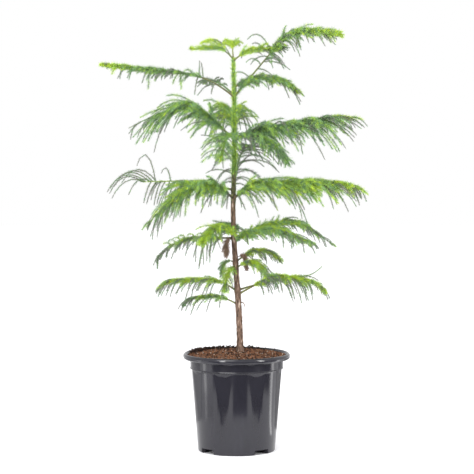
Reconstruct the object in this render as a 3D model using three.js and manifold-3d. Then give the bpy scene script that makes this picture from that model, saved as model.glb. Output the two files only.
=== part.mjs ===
// A potted young cook pine: a ribbed nursery pot filled with soil, one leaning trunk, whorls of
// boughs, and on each bough a flat frond of drooping branchlets clad in needles.
// Millimetres, +Z up. X runs to the right and Y away from the front. The origin is the centre
// of the pot's flat underside.

import * as THREE from 'three';
import { mergeVertices } from 'three/addons/utils/BufferGeometryUtils.js';
import Module from 'manifold-3d';

const wasm = await Module();
wasm.setup();

// Clearance between neighbouring pieces, and the finest step that a fused frond keeps
const GAP = 0.3;
const FINEST = 0.14;

// How far a cutter runs past what it cuts
const OVERRUN = 5;

// Nursery pot, turned about Z. Angles count from the front, positive to the right.
const POT = {
  height: 228,
  footRadius: 90,
  footBevel: 1.5,
  bodyTop: 194,
  bodyRadius: 105.6,
  neckFoot: 107.6,
  neckRadius: 114,
  lipFoot: 215,
  lipRadius: 125,
  lipRound: 1.6,
  mouthRadius: 119,
  wall: 1.6,
  floor: 2.5,
  segments: 48,
};

// Flat panels between the ribs. Each leaves the round wall at its foot and lies deepest under its
// top, where a ledge slopes out of it.
const PANELS = { count: 8, ribFrom: 5, depth: 2.4, foot: 56, top: 191, ledge: 0.26 };
const DRAINS = { count: 4, from: 40, width: 26, height: 9, inner: 79 };

// Soil that fills the pot, with a low dome that is flat where the trunk stands
const SOIL = {
  edge: 222,
  top: 229.9,
  flatRadius: 30,
  domeRows: [0, 0.3, 0.65],
  inset: 1.2 * GAP,
  segments: 32,
};

// Trunk: a slow lean to the left, a small sway back near the top, and a short flare at the foot
const TRUNK = {
  foot: SOIL.top + GAP,
  tip: 915,
  footX: 8,
  footY: 12,
  lean: -16,
  leanBy: 0.5,
  sway: 3,
  backShift: 0.8,
  footRadius: 7.2,
  tipRadius: 3.4,
  flare: 2.2,
  flareHeight: 9,
  flareRows: [5, 14],
  sides: 8,
  steps: 20,
};

// Boughs and the stems that carry on from them through a frond
const STEM = { stoutest: 2.1, stoutReach: 200, thin: 0.9, end: 0.9, sides: 3, stepLength: 42 };
const BOUGH = { shortest: 20, sides: 5 };
const CURL_FROM = 0.7;

// Points that the line of a frond and of a branchlet is worked out in
const FROND_STEPS = 24;
const DROOP_STEPS = 6;

// Branchlets stand in two ranks. Each is a roof-shaped blade with teeth along both edges.
const BLADE = {
  spacing: 38,
  stagger: 0.25,
  jitter: 0.15,
  last: 0.93,
  shortest: 0.85,
  longest: 1.12,
  halfWidth: 10.5,
  height: 1.5,
  root: 1.5,
  tip: 0.7,
  notch: 0.42,
  toothLength: 30,
  maxTeeth: 3,
  toothPeak: 0.7,
  taper: 0.5,
  tipFrom: 0.82,
};
const LEAN = { base: 50, tip: 29 };
const SAG = { power: 1.3, fullLength: 45 };
const ARCH_SAG = 1.6;
const SPREAD = { base: 0.7, grownBy: 0.22, fadeFrom: 0.45, fade: 0.72, power: 1.2 };

// Fronds, whorl by whorl from the top. z: height on the trunk. turn: direction in degrees, 0 to the
// right and 90 to the back. reach: length. rise and tip: slope in degrees before and after the bend,
// whose start and end are shares of the reach. curl: added slope at the end. bare: length of stalk
// with no branchlets. fan: length of the longest branchlets. lift: how far these rise off the
// frond's plane. sag: how strongly they droop. arches: branchlets that stand out of the ranks, by
// their place, length and rise.
const FRONDS = [
  { name: 'crest_left', z: 909, turn: 165, reach: 104, rise: 46, tip: 0, bend: [0, 0.5], curl: 0,
    bare: 14, fan: 36, lift: 66, sag: 0.6 },
  { name: 'crest_right', z: 906, turn: 14, reach: 118, rise: 37, tip: 6, bend: [0, 0.45], curl: 0,
    bare: 12, fan: 42, lift: 26, sag: 1.2 },
  { name: 'crest_back', z: 913, turn: 95, reach: 62, rise: 46, tip: 8, bend: [0, 0.8], curl: 0,
    bare: 10, fan: 36, lift: 24, sag: 1.2 },
  { name: 'top_left', z: 824, turn: 186, reach: 322, rise: 38, tip: 6, bend: [0, 0.45], curl: 0,
    bare: 40, fan: 46, lift: 20, sag: 1.9 },
  { name: 'top_right', z: 824, turn: 8, reach: 312, rise: 50, tip: 8, bend: [0.4, 0.8], curl: 0,
    bare: 112, fan: 60, lift: 30, sag: 2 },
  { name: 'top_back_right', z: 846, turn: 28, reach: 180, rise: 28, tip: -34, bend: [0, 0.9], curl: 0,
    bare: 20, fan: 38, lift: 10, sag: 1.4 },
  { name: 'top_back_left', z: 828, turn: 112, reach: 200, rise: 20, tip: 2, bend: [0, 1], curl: -20,
    bare: 20, fan: 50, lift: 15, sag: 1.1 },
  { name: 'high_left', z: 727, turn: 188, reach: 276, rise: 40, tip: -17, bend: [0.3, 0.55], curl: -12,
    bare: 30, fan: 110, lift: 2, sag: 2 },
  { name: 'high_right', z: 722, turn: -8, reach: 298, rise: 32, tip: 10, bend: [0, 0.25], curl: -28,
    bare: 20, fan: 102, lift: 4, sag: 1.9 },
  { name: 'high_back', z: 730, turn: 95, reach: 232, rise: 47, tip: -6, bend: [0.1, 0.7], curl: -15,
    bare: 25, fan: 74, lift: 16, sag: 1.5 },
  { name: 'high_front_left', z: 733, turn: 262, reach: 170, rise: 20, tip: -26, bend: [0, 0.9], curl: 0,
    bare: 15, fan: 64, lift: 6, sag: 1.6 },
  { name: 'high_front_right', z: 732, turn: -48, reach: 200, rise: 8, tip: -46, bend: [0, 1], curl: 0,
    bare: 15, fan: 62, lift: 0, sag: 1.6 },
  { name: 'mid_left', z: 608, turn: 163, reach: 222, rise: 13, tip: -2, bend: [0.1, 0.7], curl: 0,
    bare: 40, fan: 62, lift: 14, sag: 2.8,
    arches: [
      { at: 0.85, length: 105, rise: 80 },
      { at: 0.68, length: 52, rise: 80 },
      { at: 0.9, length: 108, rise: 42 },
      { at: 0.96, length: 100, rise: 16 },
    ] },
  { name: 'mid_front_left', z: 590, turn: 206, reach: 256, rise: 32, tip: -40, bend: [0.05, 0.6], curl: -32,
    bare: 15, fan: 88, lift: 6, sag: 1.7 },
  { name: 'mid_right', z: 588, turn: -6, reach: 306, rise: 40, tip: 2, bend: [0.02, 0.26], curl: -22,
    bare: 20, fan: 104, lift: 6, sag: 1.9 },
  { name: 'mid_back', z: 622, turn: 80, reach: 240, rise: 36, tip: -6, bend: [0.05, 0.8], curl: -15,
    bare: 25, fan: 84, lift: 8, sag: 1.1 },
  { name: 'low_left', z: 496, turn: 170, reach: 216, rise: 0, tip: -30, bend: [0.3, 0.7], curl: -60,
    bare: 20, fan: 46, lift: 5, sag: 1.7 },
  { name: 'low_front_left', z: 503, turn: 238, reach: 165, rise: 32, tip: -34, bend: [0.05, 0.7], curl: 0,
    bare: 12, fan: 54, lift: 4, sag: 1.6 },
  { name: 'low_right', z: 498, turn: 14, reach: 262, rise: 16, tip: -34, bend: [0.3, 0.8], curl: 0,
    bare: 15, fan: 54, lift: 16, sag: 1.5 },
  { name: 'low_front_right', z: 490, turn: -32, reach: 222, rise: 24, tip: -17, bend: [0.1, 0.7], curl: 0,
    bare: 15, fan: 52, lift: 8, sag: 1.6 },
  { name: 'low_back', z: 499, turn: 98, reach: 215, rise: 16, tip: -10, bend: [0, 1], curl: -15,
    bare: 15, fan: 56, lift: 8, sag: 1.4 },
  { name: 'short_right', z: 440, turn: 24, reach: 134, rise: 32, tip: -30, bend: [0.1, 0.8], curl: -30,
    bare: 10, fan: 42, lift: 5, sag: 1.6 },
  { name: 'short_front_right', z: 426, turn: -38, reach: 100, rise: 28, tip: -40, bend: [0.1, 0.8], curl: -30,
    bare: 10, fan: 42, lift: 5, sag: 1.6 },
  { name: 'short_left', z: 440, turn: 150, reach: 50, rise: 10, tip: -75, bend: [0, 0.8], curl: 0,
    bare: 8, fan: 34, lift: 0, sag: 1.4 },
  { name: 'short_front_left', z: 434, turn: 240, reach: 80, rise: -18, tip: -75, bend: [0, 0.8], curl: 0,
    bare: 8, fan: 34, lift: 0, sag: 1.4 },
  { name: 'base_left', z: 371, turn: 190, reach: 196, rise: 34, tip: 0, bend: [0, 0.45], curl: -48,
    bare: 34, fan: 52, lift: 12, sag: 2.2 },
  { name: 'base_right', z: 364, turn: -10, reach: 224, rise: 29, tip: -8, bend: [0.3, 0.5], curl: -42,
    bare: 38, fan: 54, lift: 10, sag: 2.2 },
  { name: 'base_back_right', z: 374, turn: 20, reach: 216, rise: 14, tip: 0, bend: [0.2, 0.8], curl: 35,
    bare: 40, fan: 38, lift: 8, sag: 1.5 },
  { name: 'foot_left', z: 340, turn: 176, reach: 136, rise: 27, tip: -6, bend: [0, 0.6], curl: -55,
    bare: 20, fan: 48, lift: 8, sag: 2 },
];

// Dead sprays that hang folded against the trunk
const DEAD = [
  { name: 'dead_left', z: 485, turn: 205, reach: 48, rise: 20, tip: -86, bend: [0, 0.4], curl: 0,
    bare: 6, fan: 24, lift: 0, sag: 3 },
  { name: 'dead_right', z: 449, turn: -6, reach: 46, rise: 25, tip: -80, bend: [0.1, 0.5], curl: 0,
    bare: 6, fan: 22, lift: 0, sag: 3 },
];

const COLOURS = {
  pot: { color: 0x26272b, roughness: 0.38, metalness: 0 },
  soil: { color: 0x5a3a28, roughness: 0.95, metalness: 0 },
  bark: { color: 0x7a604f, roughness: 0.85, metalness: 0 },
  bough: { color: 0x6b7f45, roughness: 0.75, metalness: 0 },
  frond: { color: 0x5b9a3f, roughness: 0.6, metalness: 0 },
  dead: { color: 0x8a6a50, roughness: 0.85, metalness: 0 },
};

const UP = new THREE.Vector3(0, 0, 1);
const radians = THREE.MathUtils.degToRad;
const smooth = (x) => THREE.MathUtils.smoothstep(x, 0, 1);
const mix = THREE.MathUtils.lerp;

// Seeded random numbers from 0 to 1
function seeded(seed) {
  let state = seed;
  return () => {
    state = (state * 16807) % 2147483647;
    return state / 2147483647;
  };
}

// A closed solid from a geometry, with its shared vertices merged
function solidOf(geometry) {
  geometry.deleteAttribute('normal');
  geometry.deleteAttribute('uv');
  const merged = mergeVertices(geometry, 1e-4);
  const faces = [];
  for (let i = 0; i < merged.index.count; i += 3) {
    const [a, b, c] = merged.index.array.subarray(i, i + 3);
    if (a !== b && b !== c && c !== a) {
      faces.push(a, b, c);
    }
  }
  const vertProperties = new Float32Array(merged.attributes.position.array);
  return new wasm.Manifold(new wasm.Mesh({ numProp: 3, vertProperties, triVerts: new Uint32Array(faces) }));
}

// The largest body of a joined solid: loose scraps go and sealed hollows are filled
function largestBody(solid) {
  return solid.decompose().reduce((best, body) => (body.volume() > best.volume() ? body : best));
}

function meshOf(name, solid, look) {
  const { vertProperties, triVerts } = solid.getMesh();
  const geometry = new THREE.BufferGeometry();
  geometry.setAttribute('position', new THREE.BufferAttribute(vertProperties, 3));
  geometry.setIndex(new THREE.BufferAttribute(triVerts, 1));
  geometry.computeVertexNormals();
  const mesh = new THREE.Mesh(geometry, new THREE.MeshStandardMaterial(look));
  mesh.name = name;
  return mesh;
}

// A turned shape about Z, its first column at the angle `from` degrees off the front
function turned(profile, segments, from) {
  const points = profile.map(([radius, z]) => new THREE.Vector2(radius, z));
  return new THREE.LatheGeometry(points, segments, radians(from)).rotateX(Math.PI / 2);
}

// Inside of the pot, drawn in by an inset, up to a top that closes it
const NECK_INSIDE = POT.neckRadius - 2 * POT.wall;
const LIP_INSIDE_FOOT = POT.lipFoot - POT.wall;

function cavityProfile(inset, top) {
  const wall = PANELS.depth + POT.wall + inset;
  return [
    [0, POT.floor + inset],
    [POT.footRadius - wall, POT.floor + inset],
    [POT.bodyRadius - wall, POT.bodyTop - POT.wall],
    [NECK_INSIDE - inset, LIP_INSIDE_FOOT],
    ...top,
  ];
}

// Radius of the inside of the lip at a height
function lipInside(z) {
  return THREE.MathUtils.mapLinear(z, LIP_INSIDE_FOOT, POT.height, NECK_INSIDE, POT.mouthRadius);
}

// Radius of the round wall at a height
function wallRadius(z) {
  return mix(POT.footRadius, POT.bodyRadius, z / POT.bodyTop);
}

// How deep a flat panel lies behind the round wall at an angle and height
function panelDepth(angle, z) {
  const pitch = 360 / PANELS.count;
  const fromMiddle = THREE.MathUtils.euclideanModulo(angle - PANELS.ribFrom, pitch) - pitch / 2;
  const plane = wallRadius(z) - (PANELS.depth * (z - PANELS.foot)) / (PANELS.top - PANELS.foot);
  const flat = wallRadius(z) - plane / Math.cos(radians(fromMiddle));
  return Math.max(0, Math.min(flat, (PANELS.top - z) * PANELS.ledge));
}

function makePot() {
  const ledgeFoot = PANELS.top - PANELS.depth / PANELS.ledge;
  const heights = [PANELS.foot, ledgeFoot, PANELS.top];
  const rows = heights.flatMap((z, i) => (i > 0 ? [mix(heights[i - 1], z, 0.5), z] : [z]));
  const outside = [
    [0, 0],
    [POT.footRadius - POT.footBevel, 0],
    [POT.footRadius, POT.footBevel],
    ...rows.map((z) => [wallRadius(z), z]),
    [POT.bodyRadius, POT.bodyTop],
    [POT.neckFoot, POT.bodyTop],
    [POT.neckRadius, POT.lipFoot],
    [POT.lipRadius - POT.lipRound, POT.lipFoot],
    [POT.lipRadius, POT.lipFoot + POT.lipRound],
    [POT.lipRadius, POT.height - POT.lipRound],
    [POT.lipRadius - POT.lipRound, POT.height],
    [0, POT.height],
  ];
  const halfColumn = 180 / POT.segments;
  const geometry = turned(outside, POT.segments, PANELS.ribFrom + halfColumn);
  const position = geometry.attributes.position;
  for (let i = 0; i < position.count; i += 1) {
    const radius = Math.hypot(position.getX(i), position.getY(i));
    const z = position.getZ(i);
    if (radius > POT.footRadius && z < PANELS.top) {
      const angle = THREE.MathUtils.radToDeg(Math.atan2(position.getX(i), -position.getY(i)));
      const keep = 1 - panelDepth(angle, z) / radius;
      position.setXY(i, position.getX(i) * keep, position.getY(i) * keep);
    }
  }
  const above = POT.height + OVERRUN;
  const mouth = [[POT.mouthRadius, POT.height], [POT.mouthRadius, above], [0, above]];
  let pot = solidOf(geometry).subtract(solidOf(turned(cavityProfile(0, mouth), SOIL.segments, 0)));
  for (let i = 0; i < DRAINS.count; i += 1) {
    pot = pot.subtract(drainNotch(DRAINS.from + (i * 360) / DRAINS.count));
  }
  return pot;
}

// One drain notch: a ring sector at the foot of the wall
function drainNotch(angle) {
  const half = radians(DRAINS.width / 2);
  const middle = radians(angle - 90);
  const outer = POT.footRadius + OVERRUN;
  const shape = new THREE.Shape();
  shape.absarc(0, 0, outer, middle - half, middle + half, false);
  shape.absarc(0, 0, DRAINS.inner, middle + half, middle - half, true);
  const geometry = new THREE.ExtrudeGeometry(shape, {
    depth: DRAINS.height + OVERRUN,
    bevelEnabled: false,
    curveSegments: 6,
  });
  return solidOf(geometry.translate(0, 0, -OVERRUN));
}

function makeSoil() {
  const rim = lipInside(SOIL.edge) - SOIL.inset;
  const rise = SOIL.top - SOIL.edge;
  const dome = SOIL.domeRows.map((share) => [
    mix(rim, SOIL.flatRadius, share),
    SOIL.edge + rise * Math.sin((share * Math.PI) / 2),
  ]);
  const top = [...dome, [SOIL.flatRadius, SOIL.top], [0, SOIL.top]];
  return solidOf(turned(cavityProfile(SOIL.inset, top), SOIL.segments, 0));
}

// A cylinder bent along a curve. `size` gives half the width and half the height of its section at
// a share of the length, and `across` is the direction of the width.
function sweep(curve, across, stations, size, sides) {
  const steps = stations.length - 1;
  const geometry = new THREE.CylinderGeometry(1, 1, 1, sides, steps);
  const position = geometry.attributes.position;
  for (let i = 0; i < position.count; i += 1) {
    const share = stations[Math.round((position.getY(i) + 0.5) * steps)];
    const over = new THREE.Vector3().crossVectors(across, curve.getTangent(share)).normalize();
    const [width, height] = size(share);
    const point = curve.getPoint(share);
    point.addScaledVector(across, position.getX(i) * width);
    point.addScaledVector(over, position.getZ(i) * height);
    position.setXYZ(i, point.x, point.y, point.z);
  }
  return solidOf(geometry);
}

function evenStations(steps) {
  return Array.from({ length: steps + 1 }, (_, i) => i / steps);
}

class TrunkAxis extends THREE.Curve {
  getPoint(share) {
    let x = TRUNK.footX + (TRUNK.lean * (1 - Math.cos(Math.PI * Math.min(1, share / TRUNK.leanBy)))) / 2;
    if (share > TRUNK.leanBy) {
      x += TRUNK.sway * Math.sin((Math.PI * (share - TRUNK.leanBy)) / (1 - TRUNK.leanBy));
    }
    const y = TRUNK.footY * (1 - TRUNK.backShift * share);
    return new THREE.Vector3(x, y, mix(TRUNK.foot, TRUNK.tip, share));
  }

  getTangent(share) {
    const step = 0.01;
    const low = this.getPoint(Math.max(0, share - step));
    const tangent = this.getPoint(Math.min(1, share + step)).sub(low).normalize();
    return share > 0 ? tangent : UP.clone();
  }
}

const trunkAxis = new TrunkAxis();

function trunkRadius(share) {
  const height = share * (TRUNK.tip - TRUNK.foot);
  return mix(TRUNK.footRadius, TRUNK.tipRadius, share) + TRUNK.flare * Math.exp(-height / TRUNK.flareHeight);
}

// The trunk, grown by a clearance for cutting what meets it
function makeTrunk(clearance) {
  const flare = TRUNK.flareRows.map((height) => height / (TRUNK.tip - TRUNK.foot));
  const stations = [0, ...flare, ...evenStations(TRUNK.steps).slice(1)];
  const size = (share) => [trunkRadius(share) + clearance, trunkRadius(share) + clearance];
  return sweep(trunkAxis, new THREE.Vector3(1, 0, 0), stations, size, TRUNK.sides);
}

// A direction from its turn about Z and its rise above level, in degrees
function heading(turn, rise) {
  const out = new THREE.Vector3(Math.cos(radians(rise)), 0, Math.sin(radians(rise)));
  return out.applyAxisAngle(UP, radians(turn));
}

// Slope of a frond at a share of its reach
function slopeAt(frond, share) {
  const [start, end] = frond.bend;
  const bent = (frond.tip - frond.rise) * smooth((share - start) / (end - start));
  return frond.rise + bent + frond.curl * smooth((share - CURL_FROM) / (1 - CURL_FROM));
}

// The line of a frond, from the trunk's wall out to its tip
function frondAxis(frond) {
  const share = (frond.z - TRUNK.foot) / (TRUNK.tip - TRUNK.foot);
  const root = trunkAxis.getPoint(share).addScaledVector(heading(frond.turn, frond.rise), trunkRadius(share));
  const points = [root];
  for (let i = 0; i < FROND_STEPS; i += 1) {
    const slope = slopeAt(frond, (i + 0.5) / FROND_STEPS);
    const step = heading(frond.turn, slope).multiplyScalar(frond.reach / FROND_STEPS);
    points.push(points[i].clone().add(step));
  }
  return new THREE.CatmullRomCurve3(points);
}

// Part of a frond's line
class Stretch extends THREE.Curve {
  constructor(curve, from, to) {
    super();
    Object.assign(this, { curve, from, to });
  }

  getPoint(share) {
    return this.curve.getPoint(mix(this.from, this.to, share));
  }

  getTangent(share) {
    return this.curve.getTangent(mix(this.from, this.to, share));
  }
}

function stemRadius(frond, share) {
  const stout = mix(STEM.thin, STEM.stoutest, Math.min(1, frond.reach / STEM.stoutReach));
  return mix(stout, STEM.thin, share);
}

// A tapering limb along a stretch of a frond's line
function limb(frond, axis, from, to, sides) {
  const steps = Math.max(2, Math.round((frond.reach * (to - from)) / STEM.stepLength));
  const across = heading(frond.turn - 90, 0);
  const size = (share) => {
    const radius = stemRadius(frond, mix(from, to, share));
    return [radius, radius];
  };
  return sweep(new Stretch(axis, from, to), across, evenStations(steps), size, sides);
}

// How long the branchlets are at a share of the leafy stretch, against the longest
function spread(share) {
  const grown = mix(SPREAD.base, 1, Math.sin((Math.PI / 2) * Math.min(1, share / SPREAD.grownBy)));
  const past = Math.max(0, share - SPREAD.fadeFrom) / (1 - SPREAD.fadeFrom);
  return grown * (1 - SPREAD.fade * past ** SPREAD.power);
}

// The line of a branchlet that leaves the stem along `start` and droops
function droop(root, start, length, sag) {
  const weight = sag * Math.min(1, length / SAG.fullLength);
  const points = [root.clone()];
  for (let i = 0; i < DROOP_STEPS; i += 1) {
    const pull = weight * ((i + 0.5) / DROOP_STEPS) ** SAG.power;
    const way = start.clone().addScaledVector(UP, -pull).normalize();
    points.push(points[i].clone().addScaledVector(way, length / DROOP_STEPS));
  }
  return new THREE.CatmullRomCurve3(points);
}

// A toothed blade along a curve: its edges swing out to a tooth and back to a notch
function blade(curve, across, length) {
  const teeth = THREE.MathUtils.clamp(Math.round(length / BLADE.toothLength), 1, BLADE.maxTeeth);
  const stations = [0];
  const widths = [BLADE.root];
  for (let i = 0; i < teeth; i += 1) {
    const width = BLADE.halfWidth * (1 - (BLADE.taper * i) / teeth);
    stations.push((i + BLADE.toothPeak) / teeth, (i + 1) / teeth);
    widths.push(width, i + 1 < teeth ? width * BLADE.notch : BLADE.tip);
  }
  const size = (share) => {
    const width = widths[stations.indexOf(share)];
    return [width / Math.sin(Math.PI / 3), mix(BLADE.height, BLADE.tip, share)];
  };
  return sweep(curve, across, stations, size, 3);
}

// The branchlets of a frond in two ranks, with arching ones where the frond has them, and its tip
function branchlets(frond, axis, random) {
  const across = heading(frond.turn - 90, 0);
  const bare = frond.bare / frond.reach;
  const pairs = Math.max(2, Math.round((frond.reach - frond.bare) / BLADE.spacing));
  const blades = [];
  const add = (share, start, length, sag) => {
    const level = new THREE.Vector3().crossVectors(start, UP).normalize();
    blades.push(blade(droop(axis.getPoint(share), start, length, sag), level, length));
  };
  for (let i = 0; i < pairs; i += 1) {
    for (const side of [-1, 1]) {
      const place = i + 0.5 + BLADE.stagger * side + BLADE.jitter * (2 * random() - 1);
      const leafy = (BLADE.last * place) / pairs;
      const share = mix(bare, 1, leafy);
      const along = axis.getTangent(share);
      const over = new THREE.Vector3().crossVectors(across, along);
      const lean = radians(mix(LEAN.base, LEAN.tip, share));
      const start = along.clone().multiplyScalar(Math.cos(lean));
      start.addScaledVector(across, side * Math.sin(lean) * Math.cos(radians(frond.lift)));
      start.addScaledVector(over, Math.sin(lean) * Math.sin(radians(frond.lift)));
      add(share, start, frond.fan * spread(leafy) * mix(BLADE.shortest, BLADE.longest, random()), frond.sag);
    }
  }
  for (const { at, length, rise } of frond.arches ?? []) {
    add(at, heading(frond.turn, rise), length, ARCH_SAG);
  }
  const tipLength = frond.reach * (1 - BLADE.tipFrom);
  blades.push(blade(new Stretch(axis, BLADE.tipFrom, 1), across, tipLength));
  return blades;
}

function boxesNear(a, b) {
  return [0, 1, 2].every((k) => a.min[k] - GAP < b.max[k] && b.min[k] - GAP < a.max[k]);
}

// A space that keeps each piece clear of the others
class Space {
  constructor() {
    this.taken = [];
  }

  take(owner, solid) {
    this.taken.push({ owner, solid, box: solid.boundingBox() });
  }

  isClear(owner, solid) {
    const box = solid.boundingBox();
    const others = this.taken.filter((piece) => piece.owner !== owner && boxesNear(piece.box, box));
    return others.every((piece) => piece.solid.minGap(solid, 2 * GAP) >= GAP);
  }
}

// Boughs and stems first, then the branchlets of all fronds in turn, each where it has room
function growCrown(trunk) {
  const space = new Space();
  space.take('trunk', trunk);
  const collar = makeTrunk(GAP * 1.2);
  const boughs = [];
  const masses = [...FRONDS, ...DEAD].map((frond, index) => {
    const axis = frondAxis(frond);
    const bare = frond.bare / frond.reach;
    const hasBough = frond.bare >= BOUGH.shortest;
    const owner = `frond_${frond.name}`;
    if (hasBough) {
      const bough = largestBody(limb(frond, axis, 0, bare, BOUGH.sides).subtract(collar));
      boughs.push({ name: `bough_${frond.name}`, solid: bough });
      space.take(`bough_${frond.name}`, bough);
    }
    const from = hasBough ? bare + GAP / frond.reach : 0;
    const stem = largestBody(limb(frond, axis, from, STEM.end, STEM.sides).subtract(collar));
    space.take(owner, stem);
    return { owner, solid: stem, blades: branchlets(frond, axis, seeded(index + 1)) };
  });
  const most = Math.max(...masses.map((mass) => mass.blades.length));
  for (let i = 0; i < most; i += 1) {
    for (const mass of masses.filter(({ blades }) => i < blades.length)) {
      const spray = mass.blades[i];
      if (space.isClear(mass.owner, spray)) {
        space.take(mass.owner, spray);
        mass.solid = mass.solid.add(spray);
      }
    }
  }
  return { boughs, masses };
}

const trunk = makeTrunk(0);
const { boughs, masses } = growCrown(trunk);
const plant = new THREE.Group();
plant.add(meshOf('pot', makePot(), COLOURS.pot));
plant.add(meshOf('soil', makeSoil(), COLOURS.soil));
plant.add(meshOf('trunk', trunk, COLOURS.bark));
for (const { name, solid } of boughs) {
  plant.add(meshOf(name, solid, COLOURS.bough));
}
for (const { owner, solid } of masses) {
  const look = owner.includes('dead') ? COLOURS.dead : COLOURS.frond;
  plant.add(meshOf(owner, largestBody(solid.asOriginal().simplify(FINEST)), look));
}

export default plant;
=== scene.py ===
"""Potted young cook pine: pot, soil, bark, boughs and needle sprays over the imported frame.

The growth rule is that of the plant's solids, carried on to finer branchlets and needles. It
counts in millimetres and degrees, and every mesh is made in metres. X runs to the right, Y away
from the front and Z up, from the centre of the pot's underside.
"""

import math
from typing import NamedTuple

import bpy
import numpy as np
from bpy.props import FloatProperty, FloatVectorProperty, IntProperty, PointerProperty
from bpy.types import Operator, Panel, PropertyGroup
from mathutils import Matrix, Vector, noise


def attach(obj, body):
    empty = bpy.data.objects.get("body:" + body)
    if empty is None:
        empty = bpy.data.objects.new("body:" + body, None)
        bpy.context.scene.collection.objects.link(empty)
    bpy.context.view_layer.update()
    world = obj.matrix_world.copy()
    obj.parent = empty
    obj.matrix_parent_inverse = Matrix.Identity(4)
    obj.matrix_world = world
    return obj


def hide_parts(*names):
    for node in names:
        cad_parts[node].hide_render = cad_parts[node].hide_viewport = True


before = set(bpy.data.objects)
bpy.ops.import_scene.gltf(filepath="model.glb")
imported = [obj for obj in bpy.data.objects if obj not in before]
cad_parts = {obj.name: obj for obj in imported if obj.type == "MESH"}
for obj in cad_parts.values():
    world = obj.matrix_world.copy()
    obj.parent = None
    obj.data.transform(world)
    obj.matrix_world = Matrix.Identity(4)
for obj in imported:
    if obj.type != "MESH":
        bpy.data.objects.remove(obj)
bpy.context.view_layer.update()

bl_info = {
    "name": "Potted Pine",
    "version": (1, 0, 0),
    "blender": (4, 5, 0),
    "location": "View3D > Sidebar > Potted Pine",
    "description": "Grows a young pine with drooping needle fronds in a ribbed nursery pot",
    "category": "Object",
}

BODY = "root"
MM = 0.001
UP = np.array([0.0, 0.0, 1.0])
RIGHT = np.array([1.0, 0.0, 0.0])
GOLDEN_ANGLE = math.radians(137.508)

# Seeds of the soil, of the fronds' growth and needles, and of the trunk's needles
SEED = 7
GROWTH_SEED = SEED * 1000
NEEDLE_SEED = SEED * 2000
TRUNK_SEED = SEED * 3000

# The photograph's frame in pixels, and the focal length fitted to it
FRAME_PIXELS = 474
FOCAL_PIXELS = 1938.5
CENTRE_SHIFT_PIXELS = 0.4
SENSOR_WIDTH = 36.0

# A little light of the floor's own, so that it meets the white sky without a line
FLOOR_GLOW = 0.25
FLOOR_RADIUS = 9.0
FLOOR_INNER = 0.088
FLOOR_SEGMENTS = 96
FLOOR_DROP = 0.0004

# Cards low round the pot: from and to which angle off the front, between which radii, and their glow
CARDS = (
    (-40, -31, 0.31, 0.42, 0.04),
    (-48, -22, 0.42, 0.62, 0.04),
    (-9, 26, 0.37, 0.62, 0.04),
    (51, 60, 0.35, 0.42, 0.04),
    (41, 68, 0.42, 0.62, 0.04),
    (-60, 90, 0.62, 2.6, 0.04),
    (-150, -100, 0.36, 1.6, 0.75),
    (-100, -60, 0.36, 0.62, 1.2),
    (-88, -80, 0.36, 1.6, 4.4),
    (94, 102, 0.22, 1.6, 5.0),
    (122, 168, 0.28, 1.6, 0.45),
)
CARD_HEIGHT = 0.004
CARD_STEPS = 16
CARD_COLOUR = (0.02, 0.02, 0.025)
WHITE = (1.0, 1.0, 1.0, 1.0)

# Lights: name, place, the point they face, width and height, and the setting with their power
LIGHTS = (
    ("key", (-1.3, -2.4, 3.2), (0, 0, 0.5), (2.4, 2.4), "key_power"),
    ("strip_left", (-1.3, -2.3, 0.9), (0, 0, 0.3), (0.5, 1.8), "strip_power"),
    ("strip_right", (2.0, -1.5, 0.9), (0, 0, 0.3), (0.5, 1.8), "strip_power"),
)

# Trunk: a slow lean to the left, a small sway back near the top, and a short flare at the foot
TRUNK_FOOT = 230.2
TRUNK_TIP = 915.0
TRUNK_FOOT_X = 8.0
TRUNK_FOOT_Y = 12.0
TRUNK_LEAN = -16.0
TRUNK_LEAN_BY = 0.5
TRUNK_SWAY = 3.0
TRUNK_BACK_SHIFT = 0.8
TRUNK_FOOT_RADIUS = 7.6
TRUNK_TIP_RADIUS = 3.4
TRUNK_FLARE = 2.2
TRUNK_FLARE_HEIGHT = 9.0
TRUNK_SUNK = 0.006
TRUNK_ROWS = 440
TRUNK_SIDES = 40
TRUNK_CAP_ROWS = 12
TRUNK_CAP_END = 0.02

# The trunk swells where a frond leaves it: over which height, how far, and how narrow the swelling is
SWELL_HEIGHT = 7.0
SWELL = 0.9
SWELL_POWER = 3

# Noise: roughness, step in scale and number of layers
FRACTAL = (0.7, 2.1, 4)

# Ridges and cracks of the bark: size and upward stretch, and how they fade with the height
RIDGES = (2.6, 3.2)
RIDGE_GAIN = 1.6
RIDGE_FADE_FROM = 1.2
RIDGE_FADE_HEIGHT = 480.0
RIDGE_LEAST = 0.35
CRACKS = (1.3, 0.5)
CRACKS_APART = 50.0
CRACK_SHARE = 0.5

# Ragged edge between brown, olive and green bark: size and stretch, and how high it reaches
EDGES = (5.0, 3.0)
EDGES_APART = 90.0
EDGE_HEIGHT = 34.0

# Flecks in the bark, and the scale and stretch of its grain
BROWN_FLECKS = (0.46, 0.37, 0.3)
OLIVE_FLECKS = (0.4, 0.4, 0.18)
GREEN_FLECKS = (0.36, 0.48, 0.1)
BROWN_GRAIN = (240.0, 0.3)
YOUNG_GRAIN = (210.0, 1.0)
BOUGH_GRAIN = (300.0, 0.35)

# Boughs: how far they run into the trunk and the leafy stem, their collar at the trunk, and ridges
BOUGH_SUNK = 2.0
BOUGH_OVERLAP = 1.0
BOUGH_SIDES = 10
STEM_SIDES = 6
LIMB_STEP = 2.6
LIMB_LEAST_STEPS = 8
LIMB_RIDGES = (1.6, 1.0)
LIMB_RELIEF = 0.14
COLLAR = 0.7
COLLAR_LENGTH = 3.5

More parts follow.
